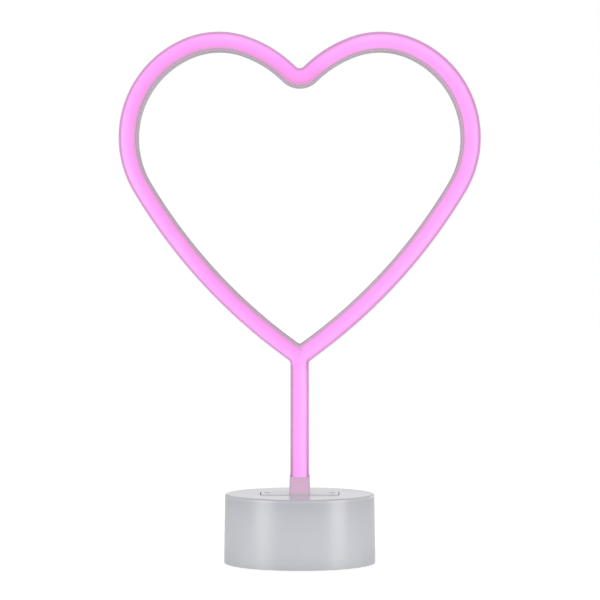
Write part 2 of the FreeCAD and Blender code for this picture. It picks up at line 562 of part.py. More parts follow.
# ------------------------------------------------------------------ wires
def tube(points, r, rmax=3.4):
    """Round wire along straight runs joined by tangent arcs, no wider than
    rmax, so that the wire keeps to its corners."""
    pts = [V(*p) for p in points]
    shapes = []
    cur = pts[0]
    for i in range(1, len(pts)):
        if i < len(pts) - 1:
            d0 = (pts[i] - pts[i - 1]).normalize()
            d1 = (pts[i + 1] - pts[i]).normalize()
            turn = math.acos(max(-1.0, min(1.0, d0.dot(d1))))
            run = min((pts[i] - pts[i - 1]).Length, (pts[i + 1] - pts[i]).Length)
            rad = min(0.45 * run / math.tan(turn / 2), rmax)
            tl = rad * math.tan(turn / 2)
            a = pts[i] - d0 * tl
            axis = d0.cross(d1).normalize()
            centre = a + axis.cross(d0) * rad
            shapes.append(Part.makeCylinder(r, (a - cur).Length, cur, d0))
            f = Part.Face(Part.Wire(Part.makeCircle(r, a, d0)))
            shapes.append(f.revolve(centre, axis, math.degrees(turn)))
            cur = pts[i] + d1 * tl
            print("   wire bend radius %.1f" % rad)
        else:
            d0 = (pts[i] - cur).normalize()
            shapes.append(Part.makeCylinder(r, (pts[i] - cur).Length, cur, d0))
    return fuse(shapes)


wy = by0 - 0.65
save("tube_lead_red", tube([(1.5, wy, 37.5), (1.5, wy, 22.3), (1.1, 19.0, 22.3), (0.2, 29.8, 22.0),
                            (0.2, 29.8, pt)], 0.55, 3.0))
save("tube_lead_black", tube([(-1.5, wy, 37.5), (-1.5, wy, 22.3), (-1.9, 19.0, 22.3), (-1.5, 29.6, 22.0),
                              (-1.5, 29.6, pt)], 0.55, 3.0))
tz = TRAY_Z1 + TRAY_T + 1.5
bx = TRAY_HX - PLATE_T - 0.6
save("battery_lead_red", tube([(bx, CELL_PITCH - 1.0, tz), (bx, 22.0, tz), (23.0, 28.0, tz), (14.6, 30.6, tz - 1.0),
                               (14.6, 30.6, pt)], 0.55))
save("battery_lead_black", tube([(-bx, -CELL_PITCH - 1.0, tz), (-bx, 22.0, tz), (-23.0, 28.2, tz),
                                 (-15.6, 31.0, tz - 0.8), (-15.6, 31.0, pt)], 0.55))
print("apex z %.3f, half length %.2f, arms at %.2f deg" % (APEX_Z, HALF_LEN, math.degrees(math.pi + APEX_H)))
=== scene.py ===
import bpy
import bmesh
import math
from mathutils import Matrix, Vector


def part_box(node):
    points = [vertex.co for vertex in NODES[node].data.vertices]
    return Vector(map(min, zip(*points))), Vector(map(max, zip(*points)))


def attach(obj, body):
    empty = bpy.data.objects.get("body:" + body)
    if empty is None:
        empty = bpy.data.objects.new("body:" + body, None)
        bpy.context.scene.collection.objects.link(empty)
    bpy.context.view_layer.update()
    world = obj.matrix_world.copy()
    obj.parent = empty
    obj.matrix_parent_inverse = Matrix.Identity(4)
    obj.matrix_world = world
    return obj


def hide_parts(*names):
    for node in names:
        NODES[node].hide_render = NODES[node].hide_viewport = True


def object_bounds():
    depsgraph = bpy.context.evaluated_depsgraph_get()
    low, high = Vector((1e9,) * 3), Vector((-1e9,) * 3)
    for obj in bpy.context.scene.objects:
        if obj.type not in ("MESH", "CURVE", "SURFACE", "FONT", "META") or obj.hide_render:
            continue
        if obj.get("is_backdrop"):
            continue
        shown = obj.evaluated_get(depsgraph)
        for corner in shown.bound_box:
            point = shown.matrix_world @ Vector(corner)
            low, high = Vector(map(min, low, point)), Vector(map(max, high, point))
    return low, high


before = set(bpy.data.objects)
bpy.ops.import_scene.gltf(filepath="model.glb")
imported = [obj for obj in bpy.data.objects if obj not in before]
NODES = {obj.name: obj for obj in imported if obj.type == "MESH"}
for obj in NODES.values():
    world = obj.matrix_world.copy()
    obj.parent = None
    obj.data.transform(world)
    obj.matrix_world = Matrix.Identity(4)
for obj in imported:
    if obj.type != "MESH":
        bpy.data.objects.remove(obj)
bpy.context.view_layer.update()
scene = bpy.context.scene
MM = 0.001

# Sizes repeated from the CAD source, in millimetres.
NOTCH_Z = 302.65
HEART_ARCS = [(7.363, 9.4575), (31.872, -73.669), (35.904, -49.257),
              (104.182, -60.363), (131.754, -338.865)]
TUBE_HW, TUBE_FRONT, TUBE_BACK, RIM_Y = 5.8, -11.5, 11.5, -9.7
WALL, BACK_WALL = 1.2, 1.6
DOME_HW, DOME_EDGE_Y, DOME_LEG_Y, DOME_T = 4.55, -9.9, -6.4, 1.1
STEM_END_Z = 25.9


def box_mm(node):
    lo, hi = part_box(node)
    return [v * 1000 for v in lo], [v * 1000 for v in hi]


# ------------------------------------------------------------ mesh helpers
def mesh_obj(name, verts, faces):
    me = bpy.data.meshes.new(name)
    me.from_pydata([(x * MM, y * MM, z * MM) for x, y, z in verts], [], faces)
    me.update()
    o = bpy.data.objects.new(name, me)
    scene.collection.objects.link(o)
    return o


def tidy(o, angle=38.0, merge=2e-6, weighted=True):
    bm = bmesh.new()
    bm.from_mesh(o.data)
    bmesh.ops.remove_doubles(bm, verts=bm.verts, dist=merge)
    bmesh.ops.dissolve_degenerate(bm, edges=bm.edges, dist=1e-6)
    bmesh.ops.recalc_face_normals(bm, faces=bm.faces)
    bm.to_mesh(o.data)
    bm.free()
    o.data.polygons.foreach_set("use_smooth", [True] * len(o.data.polygons))
    o.data.set_sharp_from_angle(angle=math.radians(angle))
    o.data.update()
    if weighted:
        w = o.modifiers.new("normals", "WEIGHTED_NORMAL")
        w.keep_sharp = True
        w.weight = 80
    return o


def revolve(name, prof, n=192, cx=0.0, cy=0.0):
    """Profile of (radius, z) points turned about Z. An end on the axis is a
    point, an end off the axis is closed with one flat face."""
    verts, faces, rings = [], [], []
    for r, z in prof:
        if r < 1e-7:
            rings.append([len(verts)])
            verts.append((cx, cy, z))
        else:
            rings.append(list(range(len(verts), len(verts) + n)))
            verts += [(cx + r * math.cos(2 * math.pi * k / n), cy + r * math.sin(2 * math.pi * k / n), z)
                      for k in range(n)]
    for a, b in zip(rings, rings[1:]):
        for k in range(n):
            k2 = (k + 1) % n
            if len(a) == 1:
                faces.append((a[0], b[k], b[k2]))
            elif len(b) == 1:
                faces.append((a[k], b[0], a[k2]))
            else:
                faces.append((a[k], b[k], b[k2], a[k2]))
    for ring in (rings[0], rings[-1]):
        if len(ring) > 1:
            faces.append(tuple(ring))
    o = mesh_obj(name, verts, faces)
    fix_normals(o)
    return o


def fix_normals(o):
    bm = bmesh.new()
    bm.from_mesh(o.data)
    bmesh.ops.recalc_face_normals(bm, faces=bm.faces)
    bm.to_mesh(o.data)
    bm.free()


def prism(name, pts, a0, a1, axis="z"):
    """Polygon carried from a0 to a1 along an axis. The polygon's two numbers
    are (x, y) for z, (x, z) for y and (y, z) for x."""
    put = {"z": lambda p, a: (p[0], p[1], a), "y": lambda p, a: (p[0], a, p[1]),
           "x": lambda p, a: (a, p[0], p[1])}[axis]
    n = len(pts)
    verts = [put(p, a0) for p in pts] + [put(p, a1) for p in pts]
    faces = [tuple(range(n)), tuple(range(2 * n - 1, n - 1, -1))]
    faces += [(k, (k + 1) % n, n + (k + 1) % n, n + k) for k in range(n)]
    o = mesh_obj(name, verts, faces)
    fix_normals(o)
    return o


def rrect(x0, x1, y0, y1, r, n=8):
    """Rectangle with round corners, as a polygon."""
    pts = []
    for cx, cy, a in ((x1 - r, y1 - r, 0), (x0 + r, y1 - r, 90), (x0 + r, y0 + r, 180), (x1 - r, y0 + r, 270)):
        if r <= 0:
            pts.append((cx, cy))
        else:
            pts += [(cx + r * math.cos(math.radians(a + 90 * k / n)), cy + r * math.sin(math.radians(a + 90 * k / n)))
                    for k in range(n + 1)]
    return pts


def ring_pts(cx, cy, r, n=64):
    return [(cx + r * math.cos(2 * math.pi * k / n), cy + r * math.sin(2 * math.pi * k / n)) for k in range(n)]


def apply_mods(o):
    dg = bpy.context.evaluated_depsgraph_get()
    me = bpy.data.meshes.new_from_object(o.evaluated_get(dg))
    old = o.data
    o.modifiers.clear()
    o.data = me
    bpy.data.meshes.remove(old)
    me.name = o.name
    return o


def boolean(o, others, op="DIFFERENCE"):
    for t in others:
        m = o.modifiers.new("cut", "BOOLEAN")
        m.operation, m.object, m.solver = op, t, "EXACT"
    bpy.context.view_layer.update()
    apply_mods(o)
    for t in others:
        me = t.data
        bpy.data.objects.remove(t)
        bpy.data.meshes.remove(me)
    return o


def clean(o, dist=4e-6):
    bm = bmesh.new()
    bm.from_mesh(o.data)
    bmesh.ops.remove_doubles(bm, verts=bm.verts, dist=dist)
    bmesh.ops.dissolve_limit(bm, angle_limit=math.radians(0.4), verts=bm.verts, edges=bm.edges)
    bm.to_mesh(o.data)
    bm.free()
    return o


def bevel(o, width, seg=2, angle=40.0):
    m = o.modifiers.new("edges", "BEVEL")
    m.width, m.segments, m.limit_method = width * MM, seg, "ANGLE"
    m.angle_limit = math.radians(angle)
    m.use_clamp_overlap = True
    m.miter_outer = "MITER_ARC"
    return apply_mods(o)


def join(name, objs):
    verts, faces = [], []
    for o in objs:
        base = len(verts)
        verts += [tuple(v.co * 1000) for v in o.data.vertices]
        faces += [tuple(base + i for i in p.vertices) for p in o.data.polygons]
        me = o.data
        bpy.data.objects.remove(o)
        bpy.data.meshes.remove(me)
    return mesh_obj(name, verts, faces)


# -------------------------------------------------------- material helpers
def lin(r, g, b):
    return tuple(c / 12.92 if c <= 0.04045 else ((c + 0.055) / 1.055) ** 2.4
                 for c in (r / 255.0, g / 255.0, b / 255.0)) + (1.0,)


class Mat:
    """A procedural material: a Principled shader and helpers for its nodes."""

    def __init__(self, name, **inputs):
        self.m = bpy.data.materials.new(name)
        self.m.use_nodes = True
        self.t = self.m.node_tree
        self.t.nodes.clear()
        self.out = self.t.nodes.new("ShaderNodeOutputMaterial")
        self.b = self.t.nodes.new("ShaderNodeBsdfPrincipled")
        self.link(self.b.outputs[0], self.out.inputs[0])
        self.obj = self.t.nodes.new("ShaderNodeTexCoord").outputs["Object"]
        for k, v in inputs.items():
            self.b.inputs[k.replace("_", " ")].default_value = v

    def link(self, a, b):
        self.t.links.new(a, b)

    def to(self, name, socket):
        self.link(socket, self.b.inputs[name])

    def node(self, kind, **props):
        n = self.t.nodes.new(kind)
        for k, v in props.items():
            setattr(n, k, v)
        return n

    def feed(self, sock, v):
        if isinstance(v, bpy.types.NodeSocket):
            self.link(v, sock)
        else:
            sock.default_value = v

    def math(self, op, a, b=0.0, clamp=False):
        n = self.node("ShaderNodeMath", operation=op, use_clamp=clamp)
        self.feed(n.inputs[0], a)
        self.feed(n.inputs[1], b)
        return n.outputs[0]

    def mapped(self, stretch=(1, 1, 1)):
        n = self.node("ShaderNodeMapping")
        self.link(self.obj, n.inputs["Vector"])
        n.inputs["Scale"].default_value = stretch
        return n.outputs[0]

    def noise(self, size_mm, detail=3.0, rough=0.5, stretch=None, seed=0.0):
        """Noise with features of about size_mm, from 0 to 1."""
        n = self.node("ShaderNodeTexNoise", noise_dimensions="4D")
        self.link(self.mapped(stretch) if stretch else self.obj, n.inputs["Vector"])
        n.inputs["W"].default_value = seed
        n.inputs["Scale"].default_value = 1000.0 / size_mm
        n.inputs["Detail"].default_value = detail
        n.inputs["Roughness"].default_value = rough
        return n.outputs["Fac"]

    def remap(self, v, a, b, c, d, smooth=False):
        n = self.node("ShaderNodeMapRange")
        if smooth:
            n.interpolation_type = "SMOOTHSTEP"
        self.feed(n.inputs["Value"], v)
        for k, x in zip(("From Min", "From Max", "To Min", "To Max"), (a, b, c, d)):
            n.inputs[k].default_value = x
        return n.outputs["Result"]

    def ramp(self, v, stops, ease=False):
        n = self.node("ShaderNodeValToRGB")
        cr = n.color_ramp
        cr.interpolation = "B_SPLINE" if ease else "LINEAR"
        while len(cr.elements) < len(stops):
            cr.elements.new(0.5)
        for e, (p, c) in zip(cr.elements, stops):
            e.position = p
            e.color = c
        self.feed(n.inputs["Fac"], v)
        return n.outputs["Color"]

    def mix(self, f, a, b, mode="MIX"):
        n = self.node("ShaderNodeMix", data_type="RGBA", blend_type=mode)
        self.feed(n.inputs[0], f)
        self.feed(n.inputs[6], a)
        self.feed(n.inputs[7], b)
        return n.outputs[2]

    def attr(self, name):
        return self.node("ShaderNodeAttribute", attribute_name=name).outputs["Fac"]

    def xyz(self, vec=None):
        n = self.node("ShaderNodeSeparateXYZ")
        self.link(vec or self.obj, n.inputs[0])
        return n.outputs

    def bump(self, height, strength, dist_mm, normal=None):
        n = self.node("ShaderNodeBump")
        n.inputs["Strength"].default_value = strength
        n.inputs["Distance"].default_value = dist_mm * MM
        self.feed(n.inputs["Height"], height)
        if normal is not None:
            self.link(normal, n.inputs["Normal"])
        return n.outputs["Normal"]

    def edges(self, radius_mm):
        """1 close to the piece's convex and concave edges, 0 elsewhere."""
        bv = self.node("ShaderNodeBevel", samples=4)
        bv.inputs["Radius"].default_value = radius_mm * MM
        geo = self.node("ShaderNodeNewGeometry")
        d = self.node("ShaderNodeVectorMath", operation="DOT_PRODUCT")
        self.link(bv.outputs[0], d.inputs[0])
        self.link(geo.outputs["Normal"], d.inputs[1])
        return self.remap(d.outputs["Value"], 0.998, 0.86, 0.0, 1.0)


def moulded(name, colour, dark, rough, wear=None, grain_mm=0.35, grain=0.06, coat=0.0, spec=0.5, sink=2.6):
    """Injection-moulded plastic: slow colour drift, flow marks, fine grain and
    edges that are a little brighter where hands rub them."""
    m = Mat(name)
    drift = m.noise(22.0, 4.0, 0.55, seed=sink)
    flow = m.noise(7.0, 3.0, 0.6, stretch=(1, 1, 0.25), seed=sink + 3)
    fac = m.math("ADD", m.math("MULTIPLY", drift, 0.65), m.math("MULTIPLY", flow, 0.35))
    col = m.ramp(fac, [(0.3, dark), (0.7, colour)])
    if wear is not None:
        e = m.math("MULTIPLY", m.edges(0.35), m.remap(m.noise(3.5, 4.0, seed=9.0), 0.35, 0.65, 0.25, 1.0), clamp=True)
        col = m.mix(m.math("MULTIPLY", e, 0.55), col, wear)
    m.to("Base Color", col)
    r = m.remap(m.noise(4.5, 5.0, 0.62, seed=5.0), 0.3, 0.7, rough - 0.05, rough + 0.06)
    m.to("Roughness", r)
    m.b.inputs["Specular IOR Level"].default_value = spec
    if coat:
        m.b.inputs["Coat Weight"].default_value = coat
        m.to("Coat Roughness", m.remap(m.noise(9.0, 3.0, seed=7.0), 0.3, 0.7, 0.05, 0.10))
    h = m.math("ADD", m.math("MULTIPLY", m.noise(grain_mm, 2.0, 0.5), 0.6),
               m.math("MULTIPLY", m.noise(11.0, 2.0, 0.5, seed=1.5), 1.6))
    m.to("Normal", m.bump(h, grain, 0.05))
    return m


def glossy_base(name, tint=1.0):
    """Light-grey plastic of the base: a slow drift of colour, faint vertical
    flow lines from the gate in the top, a softer sheen on the flat top than on
    the polished wall, and a slightly rubbed foot; its colour also carries
    painted shade under the top edge and painted light on that edge and the top."""
    m = Mat(name)
    x, y, z = m.xyz()
    rad = m.math("SQRT", m.math("ADD", m.math("MULTIPLY", x, x), m.math("MULTIPLY", y, y)))
    drift = m.noise(42.0, 2.0, 0.45, seed=2.6)
    flow = m.noise(16.0, 2.0, 0.5, stretch=(1, 1, 0.18), seed=5.6)
    fac = m.math("ADD", m.math("MULTIPLY", drift, 0.7), m.math("MULTIPLY", flow, 0.3))
    a, b = [(0.284 * tint * k, 0.287 * tint * k, 0.309 * tint * k, 1) for k in (0.94, 1.06)]
    col = m.ramp(fac, [(0.0, a), (1.0, b)])
    # painted shade and light by height: the upper wall darkens into a band just under the top edge, the rounded top
    # edge is lighter, and the foot is a touch darker
    up = m.remap(z, Z0 * MM, TOP * MM, 0.0, 1.0)
    shade = m.ramp(up, [(0.0, (0.98,) * 3 + (1,)), (0.10, (1.0,) * 3 + (1,)), (0.25, (1.01,) * 3 + (1,)), (0.45, (1.0,) * 3 + (1,)),
                        (0.72, (0.97,) * 3 + (1,)), (0.94, (0.89,) * 3 + (1,)), (0.968, (0.98,) * 3 + (1,)), (1.0, (1.25,) * 3 + (1,))])
    col = m.mix(1.0, col, shade, mode="MULTIPLY")
    flat = m.math("MULTIPLY", m.remap(z, (TOP - 0.25) * MM, (TOP - 0.02) * MM, 0.0, 1.0, smooth=True),
                  m.remap(rad, 46.0 * MM, 45.2 * MM, 0.0, 1.0, smooth=True))
    # painted light: the flat top is given a paler colour than the wall, standing in for the light it takes from above
    pale = m.ramp(fac, [(0.0, (0.455 * tint, 0.455 * tint, 0.485 * tint, 1)), (1.0, (0.495 * tint, 0.495 * tint, 0.525 * tint, 1))])
    col = m.mix(flat, col, pale)
    foot = m.math("MULTIPLY", m.remap(z, 2.4 * MM, 1.4 * MM, 0.0, 1.0, smooth=True), m.remap(rad, 46.0 * MM, 46.8 * MM, 0.0, 1.0))
    scuff = m.math("MULTIPLY", foot, m.remap(m.noise(2.6, 4.0, 0.6, seed=9.0), 0.42, 0.62, 0.0, 1.0))
    col = m.mix(m.math("MULTIPLY", scuff, 0.25), col, (0.46, 0.46, 0.48, 1))
    m.to("Base Color", col)
    rough = m.remap(m.noise(26.0, 3.0, 0.5, seed=5.0), 0.0, 1.0, 0.24, 0.38)
    m.to("Roughness", m.math("ADD", m.math("ADD", rough, m.math("MULTIPLY", flat, -0.10)), m.math("MULTIPLY", scuff, 0.15)))
    # the gloss is strongest where the wall is seen square on
    lw = m.node("ShaderNodeLayerWeight")
    lw.inputs["Blend"].default_value = 0.5
    gloss = m.remap(lw.outputs["Facing"], 0.30, 0.80, 0.80, 0.08, smooth=True)
    m.to("Specular IOR Level", m.math("ADD", m.math("MULTIPLY", gloss, m.math("SUBTRACT", 1.0, flat)), m.math("MULTIPLY", flat, 0.38)))
    m.to("Normal", m.bump(m.noise(30.0, 1.0, 0.4, seed=1.5), 0.03, 0.2))
    return m


def metal(name, colour, dark, rough, streak=(1, 1, 14), wear=(0.85, 0.85, 0.86, 1)):
    """Plated metal: drawn streaks, small tarnish spots and bright edges."""
    m = Mat(name)
    m.b.inputs["Metallic"].default_value = 1.0
    s = m.noise(1.6, 4.0, 0.6, stretch=streak)
    spots = m.remap(m.noise(2.4, 5.0, 0.7, seed=4.0), 0.55, 0.72, 0.0, 1.0)
    col = m.ramp(s, [(0.3, dark), (0.7, colour)])
    col = m.mix(m.math("MULTIPLY", spots, 0.35), col, tuple(c * 0.7 for c in dark[:3]) + (1,))
    col = m.mix(m.math("MULTIPLY", m.edges(0.15), 0.6), col, wear)
    m.to("Base Color", col)
    m.to("Roughness", m.remap(s, 0.25, 0.75, rough - 0.08, rough + 0.12))
    m.to("Normal", m.bump(s, 0.12, 0.02))
    return m


def show(o, mat, body="lamp", replaces=()):
    o.data.materials.clear()
    o.data.materials.append(mat.m)
    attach(o, body)
    if replaces:
        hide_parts(*replaces)
    return o


# ------------------------------------------------- centre line of the tube
def path_rings():
    """(x, z, heading, distance) round the right half, close enough together
    for the bends, stopping short of the V."""
    out, x, z, h, s = [], 0.0, NOTCH_Z, 0.0, 0.0
    for length, rad in HEART_ARCS:
        n = max(math.ceil(length / 1.5), math.ceil(abs(length / rad) / math.radians(2.4)))
        for k in range(n):
            d = length * k / n
            h2 = h + d / rad
            out.append((x + rad * (math.sin(h2) - math.sin(h)), z - rad * (math.cos(h2) - math.cos(h)), h2, s + d))
        h2 = h + length / rad
        x += rad * (math.sin(h2) - math.sin(h))
        z -= rad * (math.cos(h2) - math.cos(h))
        h, s = h2, s + length
    last = -x / math.cos(h)
    apex = z + last * math.sin(h)
    stop = last - 6.6
    n = math.ceil(stop / 1.5)
    for k in range(n + 1):
        d = stop * k / n
        out.append((x + d * math.cos(h), z + d * math.sin(h), h, s + d))
    return out, apex, h, s + last


RINGS, APEX_Z, APEX_H, HALF_LEN = path_rings()
ARM = (-math.cos(APEX_H), -math.sin(APEX_H))        # away from the V, up the right arm
ROUND = 1.7                                          # length of the rounding at the Y's corners


def corner(u, outer_side, i, n, hw):
    """A point of ring i of n beside the Y on the right arm's line at offset
    |u|; ring n lies on the mitre. Returns (x, z)."""
    t = 0.5 * i / n
    w = min(1.0, abs(u) / hw)
    if outer_side:
        cx, cz = u, APEX_Z - u * (1 - ARM[1]) / ARM[0]
        b = (0.0, -1.0)
    else:
        cx, cz = 0.0, APEX_Z + abs(u) / ARM[0]
        b = (-ARM[0], ARM[1])
    d = ROUND * (w * (1 - t) ** 2 + (1 - w) * (1 - 2 * t))
    e = ROUND * w * t * t
    return cx + ARM[0] * d + b[0] * e, cz + ARM[1] * d + b[1] * e


def sweep_tube(name, half, hw, stem_z0):
    """Closed profile carried round the heart and down the stem as one welded
    shell. half: (u, y) points with u >= 0, from one crossing of u = 0 to the
    other; the profile is the half and its mirror image."""
    prof = half + [(-u, y) for u, y in reversed(half[1:-1])]
    K = len(prof)
    mirror = [(K - k) % K for k in range(K)]
    verts, faces, across, along = [], [], [], []

    def add(x, y, z, ac, al):
        verts.append((x, y, z))
        across.append(ac)
        along.append(al)
        return len(verts) - 1

    NC = 5
    arms = []
    for side in (1, -1):
        rings = []
        for ri, (x, z, h, s) in enumerate(RINGS):
            if side < 0 and ri == 0:
                rings.append(arms[0][0])
                continue
            nx, nz = -math.sin(h), math.cos(h)
            rings.append([add(side * (x + u * nx), y, z + u * nz, u / hw, s) for u, y in prof])
        for i in range(NC + 1):
            ring = []
            for k, (u, y) in enumerate(prof):
                x, z = corner(abs(u), u > 0, i, NC, TUBE_HW)
                if i == NC and u <= 0 and side < 0:
                    ring.append(arms[0][-1][k])
                    continue
                ring.append(add(side * x, y, z, u / hw, HALF_LEN - ROUND * (1 - i / NC)))
            rings.append(ring)
        arms.append(rings)
    for side, rings in zip((1, -1), arms):
        for a, b in zip(rings, rings[1:]):
            for k in range(K):
                k2 = (k + 1) % K
                q = (a[k], b[k], b[k2], a[k2])
                faces.append(q if side > 0 else q[::-1])
    # stem: first ring is shared with the arms' mitre rings
    right, left = arms[0][-1], arms[1][-1]
    rings = [[right[k] if u >= 0 else left[mirror[k]] for k, (u, y) in enumerate(prof)]]

    def stem_across(u, below):
        f = min(1.0, max(0.0, below / 7.0))
        f = f * f * (3 - 2 * f)
        a = u / hw
        return a if u >= 0 else abs(a) * (1 - f) + a * f
    for i in range(NC - 1, -1, -1):
        ring = []
        for u, y in prof:
            # the mirror of the arm's rounding, on the stem's line
            t = 0.5 * i / NC
            w = min(1.0, abs(u) / TUBE_HW)
            cz = APEX_Z - abs(u) * (1 - ARM[1]) / ARM[0]
            d = ROUND * (w * (1 - t) ** 2 + (1 - w) * (1 - 2 * t))
            e = ROUND * w * t * t
            sx = 1 if u >= 0 else -1
            ring.append(add(sx * (abs(u) + ARM[0] * e), y, cz - d + ARM[1] * e, stem_across(u, d),
                            HALF_LEN + d))
        rings.append(ring)
    z_top = APEX_Z - hw * 0.5 - ROUND - 1.6
    n = math.ceil((z_top - stem_z0) / 1.6)
    for k in range(n + 1):
        z = z_top + (stem_z0 - z_top) * k / n
        rings.append([add(u, y, z, stem_across(u, APEX_Z - z), HALF_LEN + APEX_Z - z) for u, y in prof])
    for a, b in zip(rings, rings[1:]):
        for k in range(K):
            k2 = (k + 1) % K
            faces.append((a[k2], b[k2], b[k], a[k]))
    faces.append(tuple(rings[-1]))
    o = mesh_obj(name, verts, faces)
    for nm, vals in (("across", across), ("along", along)):
        at = o.data.attributes.new(nm, "FLOAT", "POINT")
        at.data.foreach_set("value", vals)
    return o


def arc3(c, s, y_end, n, sgn):
    """Half of a dome: from its crown to half width c; s is its rise."""
    R = (c * c + s * s) / (2 * s)
    a1 = math.asin(c / R)
    yc = y_end - s + R if sgn > 0 else None
    return [(R * math.sin(a1 * k / n), yc - R * math.cos(a1 * k / n)) for k in range(n + 1)]


# front diffuser: dome, legs and hollow inside
outer = arc3(DOME_HW, DOME_EDGE_Y - TUBE_FRONT, DOME_EDGE_Y, 12, 1)
inner = arc3(DOME_HW - DOME_T, 1.3, DOME_EDGE_Y + 0.8, 8, 1)
shoulder = [(DOME_HW - 0.28, outer[-1][1] - 0.12), (DOME_HW - 0.07, outer[-1][1] + 0.06), (DOME_HW, outer[-1][1] + 0.32)]
half = outer[:-1] + shoulder + [(DOME_HW, -8.2), (DOME_HW, DOME_LEG_Y + 0.15), (DOME_HW - 0.15, DOME_LEG_Y),
                                (DOME_HW - DOME_T + 0.15, DOME_LEG_Y), (DOME_HW - DOME_T, DOME_LEG_Y - 0.15),
                                (DOME_HW - DOME_T, -7.8)] + inner[::-1]
diffuser = tidy(sweep_tube("front_diffuser_lit", half, DOME_HW, STEM_END_Z), 40, weighted=False)

# rear housing: U-channel with round rims and back corners
back_r, rim_r = 2.2, 0.5
half = [(0.0, TUBE_BACK), (1.2, TUBE_BACK), (2.4, TUBE_BACK)]
half += [(TUBE_HW - back_r + back_r * math.sin(a), TUBE_BACK - back_r + back_r * math.cos(a))
         for a in [math.radians(90 * k / 8) for k in range(9)]]
half += [(TUBE_HW, y) for y in (7.0, 4.5, 2.0, -0.5, -3.0, -5.5, -7.5, -8.6)]
half += [(TUBE_HW - rim_r + rim_r * math.cos(a), RIM_Y + rim_r - rim_r * math.sin(a))
         for a in [math.radians(90 * k / 6) for k in range(7)]]
in_hw, floor_y = TUBE_HW - WALL, TUBE_BACK - BACK_WALL
half += [(in_hw + 0.22, RIM_Y), (in_hw + 0.06, RIM_Y + 0.06), (in_hw, RIM_Y + 0.22)]
half += [(in_hw, y) for y in (-7.0, -3.0, 1.0, 5.0)]
half += [(in_hw, floor_y - 0.4), (in_hw - 0.12, floor_y - 0.12), (in_hw - 0.4, floor_y), (1.8, floor_y), (0.0, floor_y)]
housing = sweep_tube("rear_housing_channel", half, TUBE_HW, STEM_END_Z)
tidy(housing, 40, weighted=False)

# ------------------------------------------------------------- base shell
LO, HI = box_mm("base_shell")
R_BOT, Z0, TOP = HI[0], LO[2], HI[2]
R_TOP, EDGE_R, SHELL_T, TOP_T = 46.5, 1.3, 2.2, 2.4
H = TOP - Z0
slope = math.atan2(R_BOT - R_TOP, H)


def wall_profile(r0, r1, z0, z1, er, n=14, foot=0.0):
    """Outer line of a slightly conical pot from its foot to its top, with the
    top edge rounded er."""
    tilt = math.atan2(r0 - r1, z1 - z0)
    # centre of the rounding: tangent to the top and to the leaning wall
    k = er * math.tan((math.pi / 2 - tilt) / 2)
    cx = r1 + (0) - k
    wall_end = (r1 + k * math.sin(tilt), z1 - k * math.cos(tilt))
    cz = z1 - er
    cxx = cx
    pts = []
    if foot:
        pts += [(r0 - foot, z0), (r0 - 0.3 * foot, z0 + 0.08 * foot), (r0, z0 + foot)]
    else:
        pts += [(r0, z0)]
    zs = [z0 + (wall_end[1] - z0) * f for f in (0.12, 0.3, 0.5, 0.7, 0.88)]
    pts += [(r0 - (z - z0) * math.tan(tilt), z) for z in zs]
    a0 = math.atan2(wall_end[1] - cz, wall_end[0] - cxx)
    for i in range(n + 1):
        a = a0 + (math.pi / 2 - a0) * i / n
        pts.append((cxx + er * math.cos(a), cz + er * math.sin(a)))
    return pts


N_ROUND = 288
out_pts = wall_profile(R_BOT, R_TOP, Z0, TOP, EDGE_R, foot=0.5)
shell = revolve("base_shell_cup", out_pts, N_ROUND)
ceil_z = TOP - TOP_T
slope_t = (R_BOT - R_TOP) / H
room = revolve("room", [(R_BOT - SHELL_T, Z0 - 3)] + wall_profile(R_BOT - SHELL_T, R_BOT - SHELL_T - slope_t * (ceil_z - Z0), Z0,
                                                                 ceil_z, 1.4, n=6), 144)
boolean(shell, [room])
# pieces of the CAD shell that stand inside it
PL_LO, PL_HI = box_mm("holder_plug")
PX, PY0, PY1, PTOP = PL_HI[0], PL_LO[1], PL_HI[1], PL_HI[2]
PZ = TOP - 2.2
PLUG_R, GAP_X, GAP_Y, PSX = 1.6, 0.5, 0.07, 19.8
adds = []
for sx in (-1, 1):
    x0, x1 = sorted((sx * 16.2, sx * (PX + 2.2)))
    adds.append(prism("t", rrect(x0, x1, PY0 - 1.8, PY1 + 1.8, 0.6, 3), PZ - 2.1, ceil_z + 0.5))
for sx in (-1, 1):
    for sy in (-1, 1):
        adds.append(prism("t", ring_pts(sx * 39.4, sy * 14.0, 3.2, 40), 3.6, ceil_z + 0.5))
inside = revolve("inside", [(R_BOT - 0.8, Z0), (R_TOP - 0.8, TOP - 0.8)], 144)
wall = prism("t", rrect(-12.3, 12.3, 9.85, 24.25, 0.6, 3), 42.6, 46.0, "y")
m = wall.modifiers.new("c", "BOOLEAN")
m.operation, m.object, m.solver = "INTERSECT", inside, "EXACT"
bpy.context.view_layer.update()
apply_mods(wall)
bpy.data.objects.remove(inside)
adds.append(wall)
boolean(shell, adds, "UNION")
SW_Z = 17.05
cuts = [prism("t", rrect(-PX - GAP_X, PX + GAP_X, PY0 - GAP_Y, PY1 + GAP_Y, PLUG_R + 0.2, 10), PZ, TOP + 5),
        prism("t", rrect(-16.2, 16.2, PY0 - GAP_Y, PY1 + GAP_Y, 0.4, 3), 30, TOP + 5.5)]
for sx in (-1, 1):
    cuts.append(prism("t", ring_pts(sx * PSX, 0, 2.7, 40), 30, TOP - 1))
    for sy in (-1, 1):
        cuts.append(prism("t", ring_pts(sx * 39.4, sy * 14.0, 1.0, 24), 2.6, 14.6))
cuts.append(prism("t", rrect(-10.5, 10.5, SW_Z - 5.4, SW_Z + 5.4, 1.6, 8), 44.6, 60, "y"))
cuts.append(prism("t", rrect(-3.5, 3.5, SW_Z - 1.6, SW_Z + 1.6, 0.35, 4), 40, 50, "y"))
boolean(shell, cuts)
clean(shell)
bevel(shell, 0.14, 2, 50)
tidy(shell, 40)

